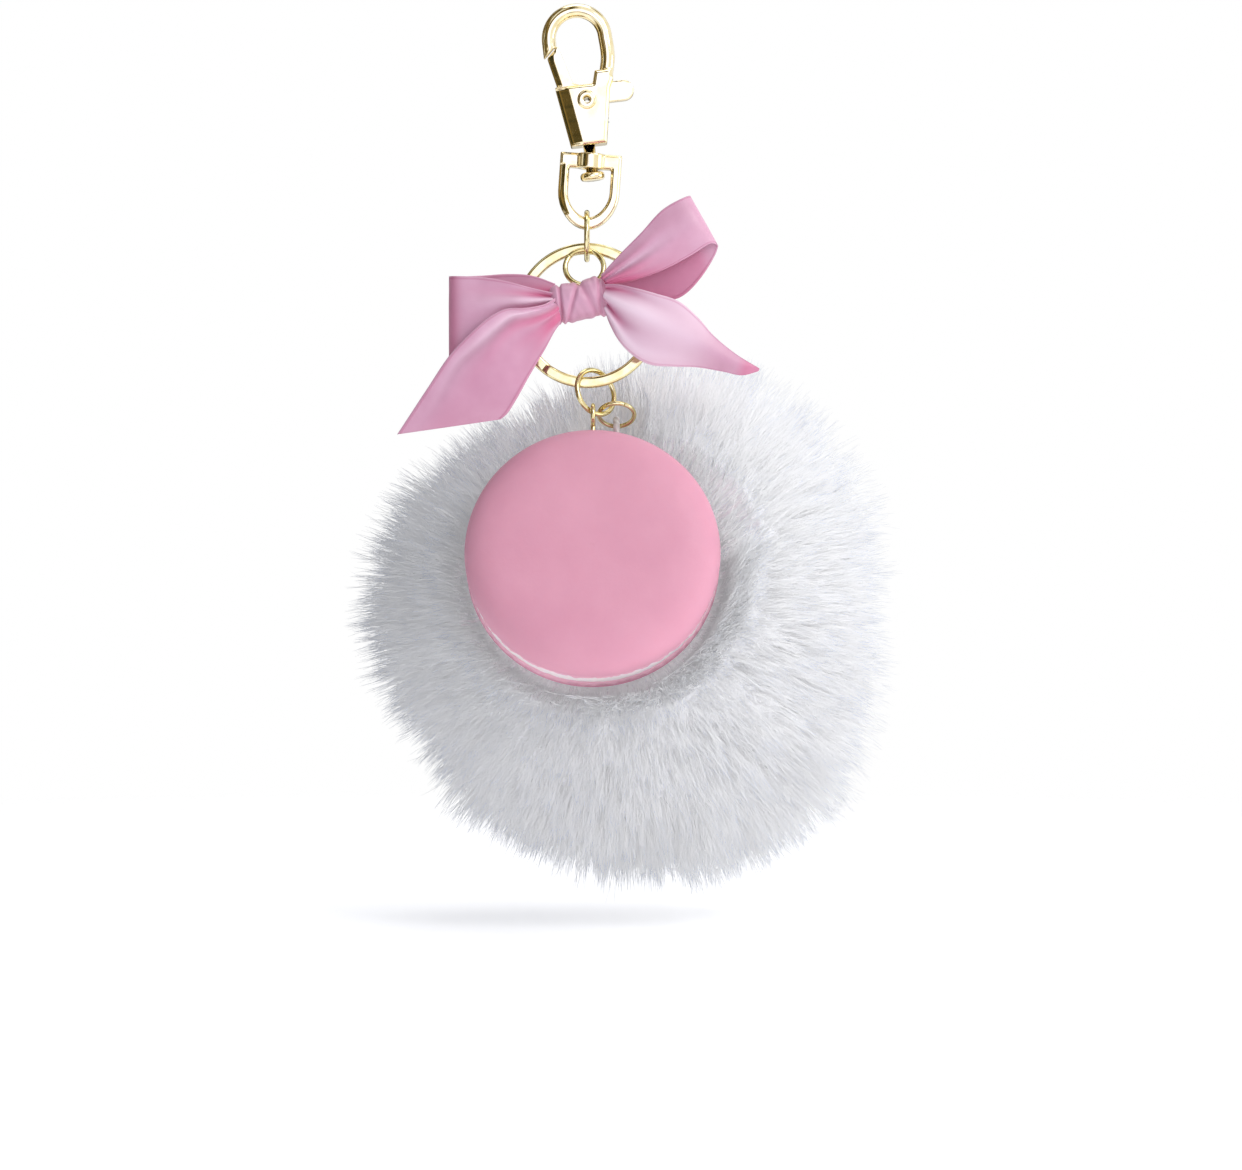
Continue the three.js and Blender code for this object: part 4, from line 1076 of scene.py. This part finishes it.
def kept_clear(points, started_behind):
    """Moves points out of the macaron's space and out of the notch round the rings."""
    arm = points - macaron_middle
    ahead = arm @ face_way
    flat = arm - np.outer(ahead, face_way)
    beside = np.linalg.norm(flat, axis=1)
    rim = rim_clear + FUNNEL * np.clip(ahead + back_plane, 0, None)
    inside = (beside < rim) & (ahead > -back_plane)
    press = inside & started_behind
    excess = np.where(press, ahead + back_plane, 0)
    points = points - np.outer(excess, face_way) + unit(flat) * (0.8 * excess)[:, None]
    aside = inside & ~started_behind
    points = points + unit(flat) * np.where(aside, rim - beside, 0)[:, None]
    gap = points - rings_middle
    near = np.linalg.norm(gap, axis=1)
    return points + unit(gap) * np.clip(RINGS_CLEAR - near, 0, None)[:, None]


print("the bed is", round(rim_clear / MM, 1), "mm wide to each side of the macaron's middle")


# %% Felt the undercoat
UNDERCOAT = 0.80  # of the reach of the guard hair
BED_SLOPE = 1.05  # how steeply the undercoat rises round the macaron
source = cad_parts["fur_pile"]
coat = piece("fur_undercoat", node_points("fur_pile"), [list(f.vertices) for f in source.data.polygons],
             "ball", undercoat, "white_fur", ["fur_pile"])
remesh = coat.modifiers.new("skin", "REMESH")
remesh.mode, remesh.voxel_size = "VOXEL", 0.8 * MM
ease = coat.modifiers.new("ease", "SMOOTH")
ease.factor, ease.iterations = 0.5, 6
fix_modifiers(coat)
coat_points = np.array([v.co for v in coat.data.vertices])
arm = coat_points - ball_middle
distance = np.linalg.norm(arm, axis=1)
way = arm / distance[:, None]
ellipsoid = 1 / np.sqrt(((way / pile_half) ** 2).sum(axis=1))
inner = core_radius + 0.4 * MM
wanted = pile_reach(way) * UNDERCOAT * (1 + 0.035 * lumps_at(coat_points, 7 * MM, 3.0))
share = np.clip((distance - inner) / (ellipsoid - inner), 0, 1)
distance = np.where(distance > inner, inner + share * (wanted - inner), distance)
coat_points = ball_middle + way * distance[:, None]
arm = coat_points - macaron_middle
ahead = arm @ face_way
beside = np.linalg.norm(arm - np.outer(ahead, face_way), axis=1)
bank = -back_plane + BED_SLOPE * np.clip(beside - rim_clear, 0, None)
coat_points -= np.outer(np.clip(ahead - bank, 0, None), face_way)
coat.data.vertices.foreach_set("co", coat_points.astype(np.float32).ravel())
coat.data.update()
print("undercoat has", len(coat.data.polygons), "faces")

# %% [markdown]
# ## Guard hair
# Hair could be grown with Blender's hair curves, but this part also has to leave Blender as plain
# meshes. So the strands are grown in code: each starts in the undercoat, leaves along its normal,
# leans away from the macaron and down a little, and is drawn together with its neighbours into
# tufts. Where a strand would enter the macaron it is pressed flat behind it or turned aside.

# %% Plant the roots
STRANDS, STEPS = 56000, 7
chance = np.random.default_rng(20)
coat.data.calc_loop_triangles()
corners = np.array([t.vertices for t in coat.data.loop_triangles])
a, b, c = (coat_points[corners[:, i]] for i in range(3))
normal = np.cross(b - a, c - a)
area = np.linalg.norm(normal, axis=1) / 2
normal = unit(normal)
centre = (a + b + c) / 3
outward = unit(centre - ball_middle)
grows = (normal * outward).sum(axis=1) > 0.0
grows &= np.linalg.norm(centre - ball_middle, axis=1) > core_radius + 3 * MM
weight = area * grows
picked = chance.choice(len(area), STRANDS, p=weight / weight.sum())
u, v = chance.random(STRANDS), chance.random(STRANDS)
flip = u + v > 1
u, v = np.where(flip, 1 - u, u), np.where(flip, 1 - v, v)
roots = a[picked] + (b - a)[picked] * u[:, None] + (c - a)[picked] * v[:, None]
root_normal = normal[picked]
print("planted", STRANDS, "strands over", round(weight.sum() * 1e4, 1), "square cm")

# %% Grow the strands
arm = roots - macaron_middle
ahead = arm @ face_way
flat = arm - np.outer(ahead, face_way)
behind = (np.linalg.norm(flat, axis=1) < rim_clear) & (ahead < 0)
away_from_macaron = unit(flat + 1e-9)
radial = unit(roots - ball_middle)
front = np.clip(-(roots[:, 1] - ball_middle[1]) / (30 * MM), 0, 1)
from_rim = np.clip((np.linalg.norm(flat, axis=1) - rim_clear) / (10 * MM), 0, 1)
from_rim = np.where(behind, 1.0, from_rim)
lean = away_from_macaron * ((0.35 + 0.6 * front) * from_rim)[:, None] + np.array([0.0, 0.0, -0.14])
lean -= away_from_macaron * (0.45 * (1 - from_rim))[:, None]
lean += 0.13 * chance.normal(size=(STRANDS, 3))
lean -= radial * (lean * radial).sum(axis=1)[:, None]
start_way = unit(radial * 0.65 + root_normal * 0.35 + 0.08 * chance.normal(size=(STRANDS, 3)))
reach = pile_reach(radial) * (0.965 + 0.05 * chance.normal(size=STRANDS).clip(-2, 1.6))
reach *= 1 + 0.045 * lumps_at(roots, 9 * MM, 7.0)
length = np.clip(reach - np.linalg.norm(roots - ball_middle, axis=1), 4.5 * MM, 14 * MM) * 1.12
path = np.zeros((STRANDS, STEPS, 3))
place = roots - radial * 1.2 * MM
for step in range(STEPS):
    path[:, step] = place
    bend = (step / (STEPS - 1)) ** 1.2
    heading = unit(start_way + lean * 0.95 * bend)
    place = kept_clear(place + heading * (length / (STEPS - 1))[:, None], behind)
tip = path[:, -1] - ball_middle
tip_reach = np.linalg.norm(tip, axis=1)
share = reach / pile_reach(radial)
missing = np.clip(pile_reach(tip / tip_reach[:, None]) * share - tip_reach, -5 * MM, 4 * MM)
missing = np.where(behind, 0, missing)
outwards = unit(path - ball_middle)
path += outwards * (missing[:, None] * (np.linspace(0, 1, STEPS) ** 1.4))[..., None]
print("mean strand", round(length.mean() / MM, 1), "mm")

# %% Draw them into tufts
TUFTS = 2600
leaders = chance.choice(STRANDS, TUFTS, replace=False)
finder = kdtree.KDTree(TUFTS)
for i, leader in enumerate(leaders):
    finder.insert(roots[leader], i)
finder.balance()
tuft = leaders[np.array([finder.find(root)[1] for root in roots])]
pull = (np.linspace(0, 1, STEPS) ** 1.5)[None, :, None] * (0.2 + 0.3 * chance.random(STRANDS))[:, None, None]
gather = path[tuft, -1] - path[:, -1]
too_far = np.linalg.norm(gather, axis=1) > 6 * MM
gather[too_far] = 0
path = path + gather[:, None] * pull
crimp = chance.normal(size=(STRANDS, STEPS, 3)) * 0.10 * MM
crimp[:, :2] = 0
path = path + crimp
for step in range(2, STEPS):
    path[:, step] = kept_clear(path[:, step], behind)
print("about", STRANDS // TUFTS, "strands in a tuft")

# %% Spin the strands into meshes
PILES, SIDES = 11, 3
taper = np.array([1.0, 0.95, 0.9, 0.8, 0.65, 0.42, 0.08])
thick = (0.065 + 0.035 * chance.random(STRANDS)) * MM
along = unit(np.gradient(path, axis=1))
side = unit(np.cross(along, unit(chance.normal(size=(STRANDS, 1, 3)))))
rise = np.cross(side, along)
angle = np.arange(SIDES) * 2 * math.pi / SIDES
width = (thick[:, None] * taper)[..., None, None]
spun = path[:, :, None] + width * (side[:, :, None] * np.cos(angle)[:, None]
                                   + rise[:, :, None] * np.sin(angle)[:, None])
one = grid_faces(STEPS, SIDES) + [[0, 2, 1]] + [[SIDES * (STEPS - 1) + i for i in range(SIDES)]]
if enclosed(spun[0].reshape(-1, 3), one) < 0:
    one = [face[::-1] for face in one]
own_number = chance.random(STRANDS)
facing = unit(path - ball_middle)[:, :, None] * 0.85 + 0.35 * unit(spun - path[:, :, None])
for number, group in enumerate(np.array_split(np.arange(STRANDS), PILES)):
    count, each = len(group), STEPS * SIDES
    quads = np.array(one[:-2])[None] + (np.arange(count) * each)[:, None, None]
    ends = np.array(one[-2:])[None] + (np.arange(count) * each)[:, None, None]
    mesh = bpy.data.meshes.new(f"fur_strands_{number}")
    mesh.vertices.add(count * each)
    mesh.vertices.foreach_set("co", spun[group].astype(np.float32).ravel())
    loops = np.concatenate([quads.reshape(count, -1), ends.reshape(count, -1)], axis=1).ravel()
    sizes = np.tile([4] * len(one[:-2]) + [3, 3], count)
    mesh.loops.add(len(loops))
    mesh.loops.foreach_set("vertex_index", loops.astype(np.int32))
    mesh.polygons.add(len(sizes))
    mesh.polygons.foreach_set("loop_start", np.concatenate([[0], np.cumsum(sizes)[:-1]]).astype(np.int32))
    mesh.update(calc_edges=True)
    mesh.normals_split_custom_set_from_vertices(unit(facing[group]).reshape(-1, 3).tolist())
    made = adopt(bpy.data.objects.new(f"fur_strands_{number}", mesh), "ball", fur)
    height_of = (loops % each) // SIDES / (STEPS - 1)
    flat_map = np.stack([own_number[group][loops // each] * 0.98 + 0.01, height_of * 0.98 + 0.01], axis=1)
    mesh.uv_layers.new(name="OFBake").data.foreach_set("uv", flat_map.astype(np.float32).ravel())
print(PILES, "piles of", STRANDS // PILES, "strands,", len(sizes), "faces in the last")

# %% Sizes and finish
finished_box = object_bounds()
sizes = {"packed": [list(corner) for corner in packed_box], "finished": [list(c) for c in finished_box]}
for label, (low, high) in sizes.items():
    print(label, "box, mm:", [round(x / MM, 1) for x in low], [round(x / MM, 1) for x in high])
